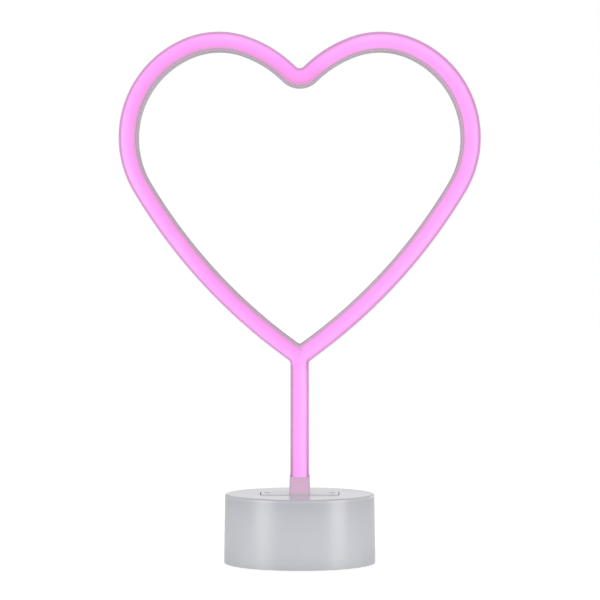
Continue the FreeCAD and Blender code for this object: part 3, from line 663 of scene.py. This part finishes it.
# ------------------------------------------------------------ plug in top
plug = prism("holder_plug_top", rrect(-PX, PX, PY0, PY1, PLUG_R, 12), PZ, PTOP)
parts = [prism("t", rrect(-7.6, 7.6, -12.65, 12.65, 0.5, 4), PL_LO[2], PZ + 0.4)]
for s in (-1, 1):
    parts.append(prism("t", ring_pts(s * PSX, 0, 2.5, 40), PZ - 2.1, PZ + 0.4))
    parts.append(prism("t", rrect(s * 10.6 - 3.2, s * 10.6 + 3.2, -0.8, 0.8, 0.2, 2), PZ - 9, PZ + 0.4))
boolean(plug, parts, "UNION")
fit = 0.05
cuts = [prism("t", rrect(-TUBE_HW - fit, TUBE_HW + fit, TUBE_FRONT - fit, TUBE_BACK + fit, 0.3, 4), PL_LO[2] + 1.6, PTOP + 5),
        prism("t", rrect(-3.6, 3.6, 5.6, 10.4, 1.4, 5), PL_LO[2] - 2, PL_LO[2] + 4),
        prism("t", ring_pts(0, 33.0, 1.1, 24), TUBE_BACK - 2, 20, "y")]
for s in (-1, 1):
    cuts.append(prism("t", ring_pts(s * PSX, 0, 0.95, 24), PZ - 3.5, TOP - 0.9))
    cuts.append(prism("t", ring_pts(s * PSX, 0, 2.4, 56), PTOP - 0.32, PTOP + 1))   # shallow round recess over each screw
boolean(plug, cuts)
clean(plug)
bevel(plug, 0.26, 3, 50)
tidy(plug, 40)

# ---------------------------------------------------- collar of the stem
CO_LO, CO_HI = box_mm("stem_collar")


def collar_ring(w, d, r, z, n=8):
    return [(x, y, z) for x, y in rrect(-w / 2, w / 2, -d / 2, d / 2, r, n)]


CW0, CD0 = CO_HI[0] - CO_LO[0], CO_HI[1] - CO_LO[1]
CZ0, CZ1 = CO_LO[2], CO_HI[2]
iw, idp = 2 * (TUBE_HW + fit), 2 * (TUBE_BACK + fit)
levels = []
for f, inset in ((0.0, 0.10), (0.012, 0.0), (0.25, 0.0), (0.5, 0.0), (0.75, 0.0), (0.955, 0.0), (0.985, 0.10), (1.0, 0.22)):
    w, d = CW0 - 0.4 * f, CD0 - 0.4 * f
    levels.append(collar_ring(w - 2 * inset, d - 2 * inset, 1.3 - 0.2 * f, CZ0 + (CZ1 - CZ0) * f))
for f in (1.0, 0.5, 0.0):
    levels.append(collar_ring(iw, idp, 0.35, CZ0 + (CZ1 - CZ0) * f))
K = len(levels[0])
verts = [p for lv in levels for p in lv]
faces = []
for i in range(len(levels)):
    j = (i + 1) % len(levels)
    faces += [(i * K + k, i * K + (k + 1) % K, j * K + (k + 1) % K, j * K + k) for k in range(K)]
collar = mesh_obj("stem_collar_sleeve", verts, faces)
tidy(collar, 40)

# ------------------------------------------- underside: plate, feet, door
BP_LO, BP_HI = box_mm("bottom_plate")
PR, BZ0 = BP_HI[0], BP_LO[2]
BZ1 = 3.6
FT_LO, FT_HI = box_mm("rubber_feet")
FOOT_R = 4.2
FOOT_X, FOOT_Y = FT_HI[0] - FOOT_R, FT_HI[1] - FOOT_R
plate = revolve("bottom_plate_disc", [(PR - 0.4, BZ0), (PR - 0.12, BZ0 + 0.1), (PR, BZ0 + 0.4), (PR, BZ1)], 216)
adds = []
for sx in (-1, 1):
    for sy in (-1, 1):
        adds.append(prism("t", ring_pts(sx * 31.95, sy * 12.0, 1.0, 24), BZ1 - 0.5, BZ1 + 1.5))
        adds.append(prism("t", ring_pts(sx * 31.95, sy * 12.0, 1.4, 24), BZ1 + 1.3, BZ1 + 2.0))
    adds.append(prism("t", ring_pts(sx * 12.8, 36.6, 2.5, 32), BZ1 - 0.5, 12.4))
boolean(plate, adds, "UNION")
DO_LO, DO_HI = box_mm("battery_door")
HX, HZ, DR = -28.6, 2.5, 0.9
DHY = 23.6
cuts = [prism("t", rrect(-29.7, 29.6, -23.8, 23.8, 0.0), -1, BZ1 + 0.01)]
for sx in (-1, 1):
    cuts.append(prism("t", ring_pts(sx * 12.8, 36.6, 0.85, 24), BZ1 + 1, 14))
    for sy in (-1, 1):
        cuts.append(prism("t", ring_pts(sx * FOOT_X, sy * FOOT_Y, FOOT_R + 0.1, 64), -1, 2.2))
        cuts.append(prism("t", ring_pts(sx * 39.4, sy * 14.0, 1.3, 32), -1, BZ1 + 1))
        cuts.append(prism("t", ring_pts(sx * 39.4, sy * 14.0, 2.7, 48), -1, 2.8))
    y0, y1 = sorted((sx * 22.8, sx * (DHY + 1.8)))
    cuts.append(prism("t", ring_pts(HX, HZ, 0.86, 32), y0, y1, "y"))
half_disc = [(29.6 - 1.0, 7.0 * math.sin(math.radians(-80)))] + \
            [(29.6 + 7.0 * math.cos(math.radians(a)), 7.0 * math.sin(math.radians(a))) for a in range(-90, 91, 5)] + \
            [(29.6 - 1.0, 7.0 * math.sin(math.radians(80)))]
cuts.append(prism("t", half_disc, -1, 2.6))
# a shallow moulded groove that runs round inside the rim
groove = revolve("t", [(42.3, BZ0 - 0.5), (42.3, BZ0 + 0.25), (42.9, BZ0 + 0.25), (42.9, BZ0 - 0.5)], 160)
bm = bmesh.new()
bm.from_mesh(groove.data)
big = [f for f in bm.faces if len(f.verts) > 4]
bmesh.ops.delete(bm, geom=big, context="FACES_ONLY")
bottom = [v for v in bm.verts if v.co.z < (BZ0 - 0.4) * MM]
ri = sorted([v for v in bottom if v.co.xy.length < 42.6 * MM], key=lambda v: math.atan2(v.co.y, v.co.x))
ro = sorted([v for v in bottom if v.co.xy.length > 42.6 * MM], key=lambda v: math.atan2(v.co.y, v.co.x))
for k in range(len(ri)):
    k2 = (k + 1) % len(ri)
    bm.faces.new((ri[k], ri[k2], ro[k2], ro[k]))
bmesh.ops.recalc_face_normals(bm, faces=bm.faces)
bm.to_mesh(groove.data)
bm.free()
cuts.append(groove)
boolean(plate, cuts)
clean(plate)
bevel(plate, 0.15, 2, 50)
tidy(plate, 40)

feet = []
for sx in (-1, 1):
    for sy in (-1, 1):
        feet.append(revolve("t", [(0.0, 0.16), (1.3, 0.15), (1.6, 0.02), (1.9, 0.0), (2.9, 0.0), (3.35, 0.03), (3.7, 0.12),
                                  (3.95, 0.28), (4.1, 0.48), (4.18, 0.75), (4.2, 1.0), (4.2, 2.1), (4.1, 2.2), (0.0, 2.2)],
                            64, sx * FOOT_X, sy * FOOT_Y))
feet = join("rubber_feet_pads", feet)
tidy(feet, 40)


def screw(name, cx, cy, z_head, r_head, h_head, r_core, z_tip, slot_w, slot_l, depth):
    """Pan-head screw with its head down, a cross recess and a thread."""
    prof = [(0.0, z_head), (r_head * 0.55, z_head), (r_head * 0.8, z_head + h_head * 0.06), (r_head * 0.95, z_head + h_head * 0.25),
            (r_head, z_head + h_head * 0.5), (r_head, z_head + h_head * 0.95), (r_head - 0.06, z_head + h_head), (r_core * 0.9, z_head + h_head)]
    z, pitch = z_head + h_head + 0.3, 0.75
    while z < z_tip - 1.2:
        prof += [(r_core * 0.8, z), (r_core, z + pitch * 0.3), (r_core, z + pitch * 0.4), (r_core * 0.8, z + pitch * 0.7)]
        z += pitch
    prof += [(r_core * 0.8, z), (0.0, z_tip)]
    o = revolve(name, prof, 48, cx, cy)
    a = prism("t", rrect(cx - slot_l, cx + slot_l, cy - slot_w, cy + slot_w, 0.0), z_head - 1, z_head + depth)
    b = prism("t", rrect(cx - slot_w, cx + slot_w, cy - slot_l, cy + slot_l, 0.0), z_head - 1, z_head + depth)
    boolean(a, [b], "UNION")
    boolean(o, [a])
    return o


screws = [screw("t", sx * 39.4, sy * 14.0, 1.7, 2.5, 1.1, 0.96, 12.8, 0.3, 1.5, 0.55) for sx in (-1, 1) for sy in (-1, 1)]
screws = join("base_screws_heads", screws)
tidy(screws, 32)

# battery door
dz0, dz1 = HZ - DR, HZ + DR
prof = [(DO_HI[0], dz0), (DO_HI[0], dz1), (HX, dz1)]
prof += [(HX + DR * math.cos(math.radians(a)), HZ + DR * math.sin(math.radians(a))) for a in range(100, 270, 10)]
prof += [(HX, dz0)]
door = prism("battery_door_leaf", prof, -DHY, DHY, "y")
boolean(door, [prism("t", ring_pts(HX, HZ, 0.8, 32), DO_LO[1], DO_HI[1], "y")], "UNION")
cuts = [prism("t", rrect(x, x + 1.2, -7.5, 7.5, 0.58, 6), -1, dz0 + 0.5) for x in (17.0, 19.4, 21.8, 24.2)]
cuts += [prism("t", rrect(14.5, DO_HI[0] + 1, s * 9.8 - 0.4, s * 9.8 + 0.4, 0.0), -1, 10) for s in (-1, 1)]
cuts += [prism("t", rrect(15.0, 28.2, -9.4, 9.4, 0.4, 4), dz1 - 0.5, 10)]
boolean(door, cuts)
clean(door)
bevel(door, 0.14, 2, 50)
tidy(door, 40)

# switch lever: block inside the can, knob with three grip ridges
SL_LO, SL_HI = box_mm("switch_lever")
kx = (SL_LO[0] + SL_HI[0]) / 2
block = prism("switch_lever_knob", rrect(kx - 2.6, kx + 2.6, SW_Z - 1.85, SW_Z + 1.85, 0.15, 2), SL_LO[1], 41.8, "y")
knob = prism("t", rrect(kx - 1.35, kx + 1.35, SW_Z - 1.25, SW_Z + 1.25, 0.2, 4), 41.5, SL_HI[1], "y")
boolean(block, [knob], "UNION")
boolean(block, [prism("t", rrect(kx + d - 0.17, kx + d + 0.17, SW_Z - 2, SW_Z + 2, 0.0), SL_HI[1] - 0.3, SL_HI[1] + 1, "y")
                for d in (-0.72, 0.0, 0.72)])
clean(block)
bevel(block, 0.08, 2, 50)
tidy(block, 40)


# cells: can with a rolled shoulder, sunken ends, ring and button
def cell(name, node):
    lo, hi = box_mm(node)
    cy, cz = (lo[1] + hi[1]) / 2, (lo[2] + hi[2]) / 2
    r = (hi[2] - lo[2]) / 2
    L = hi[0] - lo[0]
    fwd = 1 if node in ("battery_1", "battery_3") else -1
    prof = [(0.0, 0.35), (4.9, 0.35), (5.3, 0.1), (5.7, 0.0), (6.6, 0.0), (7.0, 0.12), (7.2, 0.4), (r, 0.8), (r, L - 2.3),
            (r - 0.06, L - 1.9), (r - 0.35, L - 1.5), (r - 0.9, L - 1.25), (r - 1.2, L - 1.2), (5.6, L - 1.25), (5.3, L - 1.5),
            (4.9, L - 1.6), (3.4, L - 1.6), (3.1, L - 1.45), (2.75, L - 1.0), (2.7, L - 0.4), (2.55, L - 0.12), (2.25, L), (0.0, L)]
    prof = [(rr, -z if fwd < 0 else z) for rr, z in prof]
    o = revolve(name, prof, 96)
    x0 = lo[0] if fwd > 0 else hi[0]
    for v in o.data.vertices:
        x, y, z = v.co * 1000
        v.co = Vector((x0 + z, cy + x, cz + y)) * MM
    o.data.update()
    tidy(o, 32)
    return o


cells = {n: cell(n + "_cell", n) for n in ("battery_1", "battery_2", "battery_3")}

# --------------------------------------------------------------- materials
lit = Mat("lit_diffuser", Roughness=0.42)
acr = lit.remap(lit.attr("across"), -1.0, 1.0, 0.0, 1.0)
alo = lit.attr("along")
px = lit.xyz()[0]
wob = lit.noise(34.0, 2.0, 0.5, seed=2.0)
fine = lit.noise(6.0, 3.0, 0.5, seed=8.0)
shift = lit.math("ADD", acr, lit.math("MULTIPLY", lit.math("SUBTRACT", wob, 0.5), 0.16))
right_c = lit.ramp(shift, [(0.0, lin(208, 164, 198)), (0.06, lin(222, 164, 210)), (0.16, lin(246, 159, 234)), (0.31, lin(253, 161, 247)),
                           (0.5, lin(254, 165, 252)), (0.70, lin(254, 170, 251)), (0.84, lin(249, 168, 244)), (0.92, lin(237, 159, 227)),
                           (1.0, lin(218, 155, 208))])
left_c = lit.ramp(shift, [(0.0, lin(198, 158, 188)), (0.06, lin(206, 156, 196)), (0.16, lin(230, 150, 214)), (0.31, lin(252, 153, 235)),
                          (0.5, lin(253, 157, 243)), (0.70, lin(253, 163, 248)), (0.86, lin(252, 165, 248)), (0.94, lin(247, 163, 240)),
                          (1.0, lin(234, 166, 226))])
stem_c = lit.ramp(shift, [(0.0, lin(212, 152, 200)), (0.07, lin(228, 154, 212)), (0.16, lin(250, 158, 240)), (0.30, lin(254, 163, 251)),
                          (0.5, lin(254, 168, 253)), (0.70, lin(254, 177, 254)), (0.84, lin(252, 176, 251)), (0.93, lin(238, 156, 228)),
                          (1.0, lin(222, 148, 212))])
# the lamp is a little deeper pink on its left half
left = lit.remap(px, 0.004, -0.004, 0.0, 1.0, smooth=True)
col = lit.mix(left, right_c, left_c)
on_stem = lit.remap(alo, HALF_LEN + 3.0, HALF_LEN + 9.0, 0.0, 1.0, smooth=True)
# paler along the outer side: partly the lamp's brighter spots where its light sources sit nearer to the cover, partly
# painted highlight
PALE_R = [(0.0, 0.0), (0.10, 0.25), (0.16, 1.0), (0.21, 0.5), (0.26, 0.7), (0.34, 0.25), (0.52, 0.1), (0.62, 0.45), (0.74, 0.55), (0.85, 0.2), (1.0, 0.1)]
PALE_L = [(0.0, 0.05), (0.10, 0.35), (0.16, 0.95), (0.22, 0.3), (0.30, 0.15), (0.38, 0.35), (0.53, 0.9), (0.60, 0.3), (0.69, 0.6), (0.77, 0.1), (1.0, 0.15)]
run = lit.math("DIVIDE", alo, HALF_LEN)
pale = lit.mix(left, lit.ramp(run, [(p, (v, v, v, 1)) for p, v in PALE_R]), lit.ramp(run, [(p, (v, v, v, 1)) for p, v in PALE_L]))
outer = lit.ramp(shift, [(0.45, (0.15,) * 3 + (1,)), (0.78, (1.0,) * 3 + (1,)), (0.90, (0.7,) * 3 + (1,)), (1.0, (0.05,) * 3 + (1,))])
col = lit.mix(lit.math("MULTIPLY", lit.math("MULTIPLY", pale, outer), 0.46), col, lin(255, 200, 255))
col = lit.mix(on_stem, col, stem_c)
# deeper pink low in the notch, where the cover bends hardest, with a thin line along its inner edge
notch_c = lit.ramp(acr, [(0.0, lin(190, 164, 184)), (0.06, lin(200, 164, 193)), (0.105, lin(206, 150, 192)), (0.13, lin(212, 126, 186)),
                         (0.155, lin(220, 140, 196)), (0.23, lin(246, 147, 220)), (0.31, lin(249, 150, 223)), (0.5, lin(253, 152, 232)),
                         (0.69, lin(253, 157, 243)), (0.85, lin(251, 160, 240)), (1.0, lin(226, 154, 214))])
col = lit.mix(lit.remap(alo, 5.0, 24.0, 0.9, 0.0, smooth=True), col, notch_c)
pz = lit.xyz()[2]


def soft_spot(cx, cz, rx, rz, tilt=0.0):
    """1 in the middle of an ellipse on the cover's face, 0 at its edge."""
    a, c, d = math.radians(tilt), lit.math("SUBTRACT", px, cx * MM), lit.math("SUBTRACT", pz, cz * MM)
    e = lit.math("ADD", lit.math("MULTIPLY", c, math.cos(a) / (rx * MM)), lit.math("MULTIPLY", d, math.sin(a) / (rx * MM)))
    f = lit.math("SUBTRACT", lit.math("MULTIPLY", d, math.cos(a) / (rz * MM)), lit.math("MULTIPLY", c, math.sin(a) / (rz * MM)))
    r2 = lit.math("ADD", lit.math("MULTIPLY", e, e), lit.math("MULTIPLY", f, f))
    return lit.remap(r2, 0.0, 1.0, 1.0, 0.0, smooth=True)


# painted shade at the fork: a darker dot under the V, a faint darker crease to its left, a duller corner to its right
fork = [(soft_spot(0.65, 134.2, 1.1, 0.9), 0.60, lin(226, 120, 200)), (soft_spot(-0.2, 131.2, 0.45, 3.4, -22), 0.42, lin(234, 134, 220)),
        (soft_spot(-2.1, 128.4, 0.48, 2.0, -52), 0.42, lin(232, 136, 216)), (soft_spot(4.8, 125.5, 1.45, 4.8, -10), 0.85, lin(190, 138, 184)),
        (soft_spot(-0.6, 123.5, 0.5, 5.5), 0.16, lin(240, 140, 232))]
for where, k, c in fork:
    col = lit.mix(lit.math("MULTIPLY", where, k), col, c)
led = lit.math("SINE", lit.math("MULTIPLY", alo, 2 * math.pi / 19.6))
glow = lit.math("ADD", lit.math("MULTIPLY", led, 0.008), lit.math("ADD", 0.975, lit.math("MULTIPLY", fine, 0.05)))
lit.to("Emission Color", col)
lit.to("Emission Strength", lit.math("MULTIPLY", glow, 0.90))
lit.to("Base Color", lit.mix(0.06, (0.10, 0.022, 0.085, 1), col))
lit.b.inputs["Specular IOR Level"].default_value = 0.12
lit.to("Normal", lit.bump(lit.noise(0.5, 2.0), 0.06, 0.03))

milky = Mat("milky_housing")
py = milky.xyz()[1]
depth = milky.remap(py, RIM_Y * MM, TUBE_BACK * MM, 0.0, 1.0)
cloud = milky.noise(16.0, 3.0, 0.5, seed=3.0)
depth = milky.math("ADD", depth, milky.math("MULTIPLY", milky.math("SUBTRACT", cloud, 0.5), 0.10))
# painted shade and light: the walls are greyed as painted shade, and pinker near the lit cover's rim as painted light
# from it
mr_c = milky.ramp(depth, [(0.0, (0.385, 0.262, 0.365, 1)), (0.10, (0.365, 0.272, 0.35, 1)), (0.24, (0.34, 0.288, 0.335, 1)), (0.88, (0.35, 0.31, 0.35, 1)),
                          (0.97, (0.50, 0.47, 0.50, 1)), (1.0, (0.56, 0.53, 0.56, 1))])
ml_c = milky.ramp(depth, [(0.0, (0.318, 0.256, 0.306, 1)), (0.10, (0.32, 0.268, 0.31, 1)), (0.24, (0.32, 0.29, 0.32, 1)), (0.88, (0.345, 0.315, 0.345, 1)),
                          (0.97, (0.50, 0.47, 0.50, 1)), (1.0, (0.56, 0.53, 0.56, 1))])
# painted light: the right arm's walls are pinker, away from the notch, as if more of the lamp's light leaks into them
leak = milky.math("MULTIPLY", milky.remap(milky.xyz()[0], -0.006, 0.006, 0.0, 1.0, smooth=True),
                  milky.remap(milky.attr("along"), 30.0, 150.0, 0.0, 1.0, smooth=True))
outer_c = milky.ramp(depth, [(0.0, (0.425, 0.245, 0.395, 1)), (0.10, (0.395, 0.265, 0.375, 1)), (0.24, (0.345, 0.292, 0.34, 1)),
                             (0.88, (0.35, 0.315, 0.35, 1)), (0.97, (0.50, 0.47, 0.50, 1)), (1.0, (0.56, 0.53, 0.56, 1))])
wall_c = milky.mix(leak, ml_c, mr_c)
milky.to("Base Color", milky.mix(milky.remap(milky.attr("across"), -0.2, 0.2, 0.0, 1.0, smooth=True), wall_c, outer_c))
# painted glow: the housing is given pink emission near its rim, fading toward the back, standing in for the lamp's
# light shining into it
milky.to("Emission Color", milky.ramp(depth, [(0.0, (0.95, 0.42, 0.82, 1)), (1.0, (0.8, 0.45, 0.75, 1))]))
milky.to("Emission Strength", milky.ramp(depth, [(0.0, (0.075,) * 3 + (1,)), (0.12, (0.04,) * 3 + (1,)), (0.30, (0.012,) * 3 + (1,)),
                                                (1.0, (0.0,) * 3 + (1,))]))
milky.to("Roughness", milky.remap(milky.noise(9.0, 3.0, seed=6.0), 0.0, 1.0, 0.52, 0.70))
milky.b.inputs["Specular IOR Level"].default_value = 0.03

coll = Mat("collar_plastic")
pz = coll.xyz()[2]
up = coll.remap(pz, CZ0 * MM, CZ1 * MM, 0.0, 1.0)
ax = coll.math("ABSOLUTE", coll.xyz()[0])
c = coll.ramp(coll.math("ADD", up, coll.math("MULTIPLY", coll.math("SUBTRACT", coll.noise(5.0, 3.0), 0.5), 0.16)),
              [(0.0, (0.54, 0.395, 0.505, 1)), (0.5, (0.53, 0.355, 0.488, 1)), (0.85, (0.50, 0.335, 0.46, 1)), (1.0, (0.46, 0.285, 0.415, 1))])
# painted shade: the collar's rounded corners are darker, standing in for less of the lamp's light coming through there
coll.to("Base Color", coll.mix(coll.remap(ax, 5.2 * MM, 6.2 * MM, 0.0, 0.85, smooth=True), c, (0.42, 0.32, 0.41, 1)))
# painted glow: the unlit collar is given a faint pink emission, strongest at its top beside the lit cover
coll.to("Emission Color", coll.ramp(up, [(0.0, (0.2, 0.06, 0.17, 1)), (0.9, (0.3, 0.08, 0.26, 1)), (1.0, (0.7, 0.18, 0.56, 1))]))
coll.b.inputs["Emission Strength"].default_value = 0.12
coll.to("Roughness", coll.remap(coll.noise(6.0, 3.0, seed=6.0), 0.3, 0.7, 0.44, 0.54))
coll.b.inputs["Specular IOR Level"].default_value = 0.2

base = glossy_base("base_plastic")
inner_m = moulded("inner_plastic", (0.72, 0.72, 0.70, 1), (0.66, 0.66, 0.64, 1), 0.46, wear=(0.78, 0.78, 0.76, 1), grain=0.12, sink=6.0)
rubber = moulded("foot_rubber", (0.52, 0.52, 0.54, 1), (0.46, 0.46, 0.48, 1), 0.50, grain=0.15, spec=0.35)
black = moulded("switch_black", (0.022, 0.022, 0.024, 1), (0.015, 0.015, 0.016, 1), 0.48, wear=(0.06, 0.06, 0.06, 1), grain=0.25)
epoxy = moulded("chip_black", (0.025, 0.025, 0.026, 1), (0.017, 0.017, 0.018, 1), 0.55, wear=(0.07, 0.07, 0.07, 1), grain=0.3)
red = moulded("wire_red", (0.52, 0.020, 0.018, 1), (0.42, 0.014, 0.013, 1), 0.40, grain=0.1)
blk = moulded("wire_black", (0.020, 0.020, 0.020, 1), (0.013, 0.013, 0.013, 1), 0.42, grain=0.1)
strip = moulded("strip_mask", (0.80, 0.80, 0.78, 1), (0.72, 0.72, 0.70, 1), 0.36, wear=(0.55, 0.42, 0.22, 1), grain=0.08)
zinc = metal("screw_steel", (0.62, 0.62, 0.64, 1), (0.46, 0.46, 0.48, 1), 0.32)
nickel = metal("contact_metal", (0.70, 0.67, 0.60, 1), (0.55, 0.52, 0.46, 1), 0.28)
tin = metal("switch_can", (0.66, 0.66, 0.66, 1), (0.50, 0.50, 0.50, 1), 0.34)
solder = metal("solder_wire", (0.68, 0.68, 0.70, 1), (0.52, 0.52, 0.54, 1), 0.30)
alu = metal("can_alu", (0.66, 0.66, 0.68, 1), (0.52, 0.52, 0.54, 1), 0.30)

mask = Mat("board_mask", Roughness=0.35)
tracks = mask.node("ShaderNodeTexVoronoi", feature="DISTANCE_TO_EDGE", distance="MANHATTAN")
mask.link(mask.obj, tracks.inputs["Vector"])
tracks.inputs["Scale"].default_value = 320.0
line = mask.remap(tracks.outputs["Distance"], 0.03, 0.06, 1.0, 0.0)
mask.to("Base Color", mask.mix(line, mask.ramp(mask.noise(3.0, 4.0), [(0.3, (0.006, 0.075, 0.024, 1)), (0.7, (0.009, 0.105, 0.034, 1))]),
                               (0.02, 0.20, 0.055, 1)))
mask.to("Roughness", mask.remap(mask.noise(2.0, 4.0), 0.3, 0.7, 0.26, 0.42))
mask.to("Normal", mask.bump(line, 0.3, 0.04))

pkg = Mat("led_package", Roughness=0.4)
pkg.to("Base Color", pkg.ramp(pkg.noise(1.2, 3.0), [(0.3, (0.80, 0.70, 0.74, 1)), (0.7, (0.88, 0.80, 0.84, 1))]))
pkg.to("Emission Color", pkg.ramp(pkg.noise(1.5, 2.0), [(0.3, (1.0, 0.25, 0.80, 1)), (0.7, (1.0, 0.40, 0.92, 1))]))
pkg.b.inputs["Emission Strength"].default_value = 1.6
pkg.to("Normal", pkg.bump(pkg.noise(0.4, 2.0), 0.2, 0.02))


def cell_mat(name, fwd, x_lo, x_hi):
    """Printed sleeve over the can, with a band at the button's end, and bare
    metal ends."""
    m = Mat(name)
    x, y, z = m.xyz()
    along = m.remap(x, x_lo * MM, x_hi * MM, 0.0, 1.0) if fwd > 0 else m.remap(x, x_hi * MM, x_lo * MM, 0.0, 1.0)
    w = m.ramp(along, [(0.0, (0.030, 0.070, 0.105, 1)), (0.68, (0.034, 0.085, 0.125, 1)), (0.685, (0.50, 0.52, 0.54, 1)),
                       (0.70, (0.50, 0.52, 0.54, 1)), (0.705, (0.05, 0.34, 0.30, 1)), (1.0, (0.05, 0.38, 0.33, 1))])
    w = m.mix(m.remap(m.noise(1.6, 5.0, 0.7, seed=2.0), 0.60, 0.72, 0.0, 0.35), w, (0.25, 0.27, 0.28, 1))
    steel = m.ramp(m.noise(1.5, 4.0, 0.6), [(0.3, (0.50, 0.50, 0.50, 1)), (0.7, (0.68, 0.68, 0.67, 1))])
    # bare metal past the sleeve's two ends
    ends = m.math("ADD", m.remap(along, 0.020, 0.016, 0.0, 1.0), m.remap(along, 0.955, 0.960, 0.0, 1.0), clamp=True)
    m.to("Base Color", m.mix(ends, w, steel))
    m.to("Metallic", ends)
    m.to("Roughness", m.remap(m.noise(2.5, 4.0, seed=5.0), 0.3, 0.7, 0.22, 0.36))
    m.to("Normal", m.bump(m.noise(0.9, 2.0), 0.08, 0.02))
    return m


# ------------------------------------------------------- pieces and bodies
show(diffuser, lit, replaces=["front_diffuser"])
show(housing, milky, replaces=["rear_housing"])
show(shell, base, replaces=["base_shell"])
show(plug, base, replaces=["holder_plug"])
show(collar, coll, replaces=["stem_collar"])
show(plate, base, replaces=["bottom_plate"])
show(feet, rubber, replaces=["rubber_feet"])
show(screws, zinc, replaces=["base_screws"])
show(door, base, body="door", replaces=["battery_door"])
show(block, black, body="switch", replaces=["switch_lever"])
for n, o in cells.items():
    lo, hi = box_mm(n)
    show(o, cell_mat(n + "_sleeve", -1 if n == "battery_2" else 1, lo[0], hi[0]), replaces=[n])

KEEP = {"led_board_right": strip, "led_board_left": strip, "led_board_stem": strip, "led_chips": pkg, "led_resistors": epoxy,
        "board_jumpers": solder, "holder_screws": zinc, "stem_lock_screw": zinc, "battery_tray": inner_m,
        "contact_positive": nickel, "contact_negative": nickel, "bridge_contact_right": nickel, "bridge_contact_left": nickel,
        "circuit_board": mask, "driver_chip": epoxy, "board_capacitor": alu, "board_choke": epoxy, "board_screws": zinc,
        "switch_body": tin, "tube_lead_red": red, "tube_lead_black": blk, "battery_lead_red": red, "battery_lead_black": blk}
for n, mt in KEEP.items():
    o = NODES[n]
    for sl in range(len(o.material_slots)):
        o.material_slots[sl].material = mt.m

# ------------------------------------------------ floor, light and camera
FLOOR_Z = -0.0003
bpy.ops.mesh.primitive_circle_add(vertices=96, radius=4.0, fill_type="NGON", location=(0, 0, FLOOR_Z))
floor = bpy.context.object
floor.name = "studio_floor"
fl = Mat("studio_floor", Roughness=0.9)
fx = fl.xyz()
rad = fl.math("SQRT", fl.math("ADD", fl.math("MULTIPLY", fx[0], fx[0]), fl.math("MULTIPLY", fx[1], fx[1])))
# painted pool of light: the floor glows brighter in front of the base, which lights the base's foot
near = fl.math("MULTIPLY", fl.remap(rad, 0.08, 0.26, 1.0, 0.0, smooth=True), fl.remap(fx[1], 0.0, -0.03, 0.0, 1.0, smooth=True))
near = fl.math("MULTIPLY", near, fl.remap(rad, 0.058, 0.078, 0.0, 1.0, smooth=True))
# painted light: extra glow round the base's footprint cancels its contact shadow
contact = fl.remap(rad, 0.047, 0.075, 1.0, 0.0, smooth=True)
fl.b.inputs["Base Color"].default_value = (0.42, 0.42, 0.42, 1)
fl.b.inputs["Specular IOR Level"].default_value = 0.0
fl.b.inputs["Emission Color"].default_value = (1, 1, 1, 1)
fl.to("Emission Strength", fl.math("ADD", fl.math("MULTIPLY", contact, 0.14), fl.math("ADD", 0.70, fl.math("MULTIPLY", near, 1.3))))
# seen from below it lets the view through to the underside
clear = fl.node("ShaderNodeBsdfTransparent")
pick = fl.node("ShaderNodeMixShader")
fl.link(fl.node("ShaderNodeNewGeometry").outputs["Backfacing"], pick.inputs[0])
fl.link(fl.b.outputs[0], pick.inputs[1])
fl.link(clear.outputs[0], pick.inputs[2])
fl.link(pick.outputs[0], fl.out.inputs[0])
floor.data.materials.append(fl.m)
floor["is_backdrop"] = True

world = bpy.data.worlds.new("studio")
scene.world = world
world.use_nodes = True
wt = world.node_tree
wt.nodes.clear()
wo = wt.nodes.new("ShaderNodeOutputWorld")
bg = wt.nodes.new("ShaderNodeBackground")
tc = wt.nodes.new("ShaderNodeTexCoord")
sp = wt.nodes.new("ShaderNodeSeparateXYZ")
mr = wt.nodes.new("ShaderNodeMapRange")
mr.interpolation_type = "SMOOTHSTEP"
wt.links.new(tc.outputs["Generated"], sp.inputs[0])
wt.links.new(sp.outputs[2], mr.inputs["Value"])
for k, v in zip(("From Min", "From Max", "To Min", "To Max"), (0.30, 0.95, 1.0, 0.68)):
    mr.inputs[k].default_value = v
wt.links.new(mr.outputs["Result"], bg.inputs["Strength"])
bg.inputs["Color"].default_value = (1, 1, 1, 1)
wt.links.new(bg.outputs[0], wo.inputs[0])


def softbox(name, azimuth, elevation, dist, w, h, power, aim=(0, 0, 0.04)):
    a, e = math.radians(azimuth), math.radians(elevation)
    ld = bpy.data.lights.new(name, "AREA")
    ld.shape, ld.size, ld.size_y, ld.energy = "RECTANGLE", w, h, power
    lo = bpy.data.objects.new(name, ld)
    lo.location = Vector(aim) + dist * Vector((math.sin(a) * math.cos(e), -math.cos(a) * math.cos(e), math.sin(e)))
    lo.rotation_mode = "QUATERNION"
    lo.rotation_quaternion = (lo.location - Vector(aim)).to_track_quat("Z", "Y")
    lo.visible_camera = False
    scene.collection.objects.link(lo)
    return lo


softbox("soft_left", -56, 9, 0.9, 0.40, 0.44, 3.6)
softbox("soft_right", 59, 9, 0.9, 0.40, 0.44, 3.8)
softbox("soft_edge", 148, 4, 1.1, 0.30, 0.40, 0.9)

cam_data = bpy.data.cameras.new("camera")
cam = bpy.data.objects.new("camera", cam_data)
scene.collection.objects.link(cam)
cam_data.sensor_width = 36.0
cam_data.lens = 160.735
cam_data.clip_start, cam_data.clip_end = 0.05, 30.0
cam.location = (0.00017, -1.66841, 0.19001)
cam.rotation_euler = (math.radians(90.0 - 0.86455), 0.0, 0.0)
scene.camera = cam

scene.view_settings.view_transform = "Standard"
scene.view_settings.look = "None"

lo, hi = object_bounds()
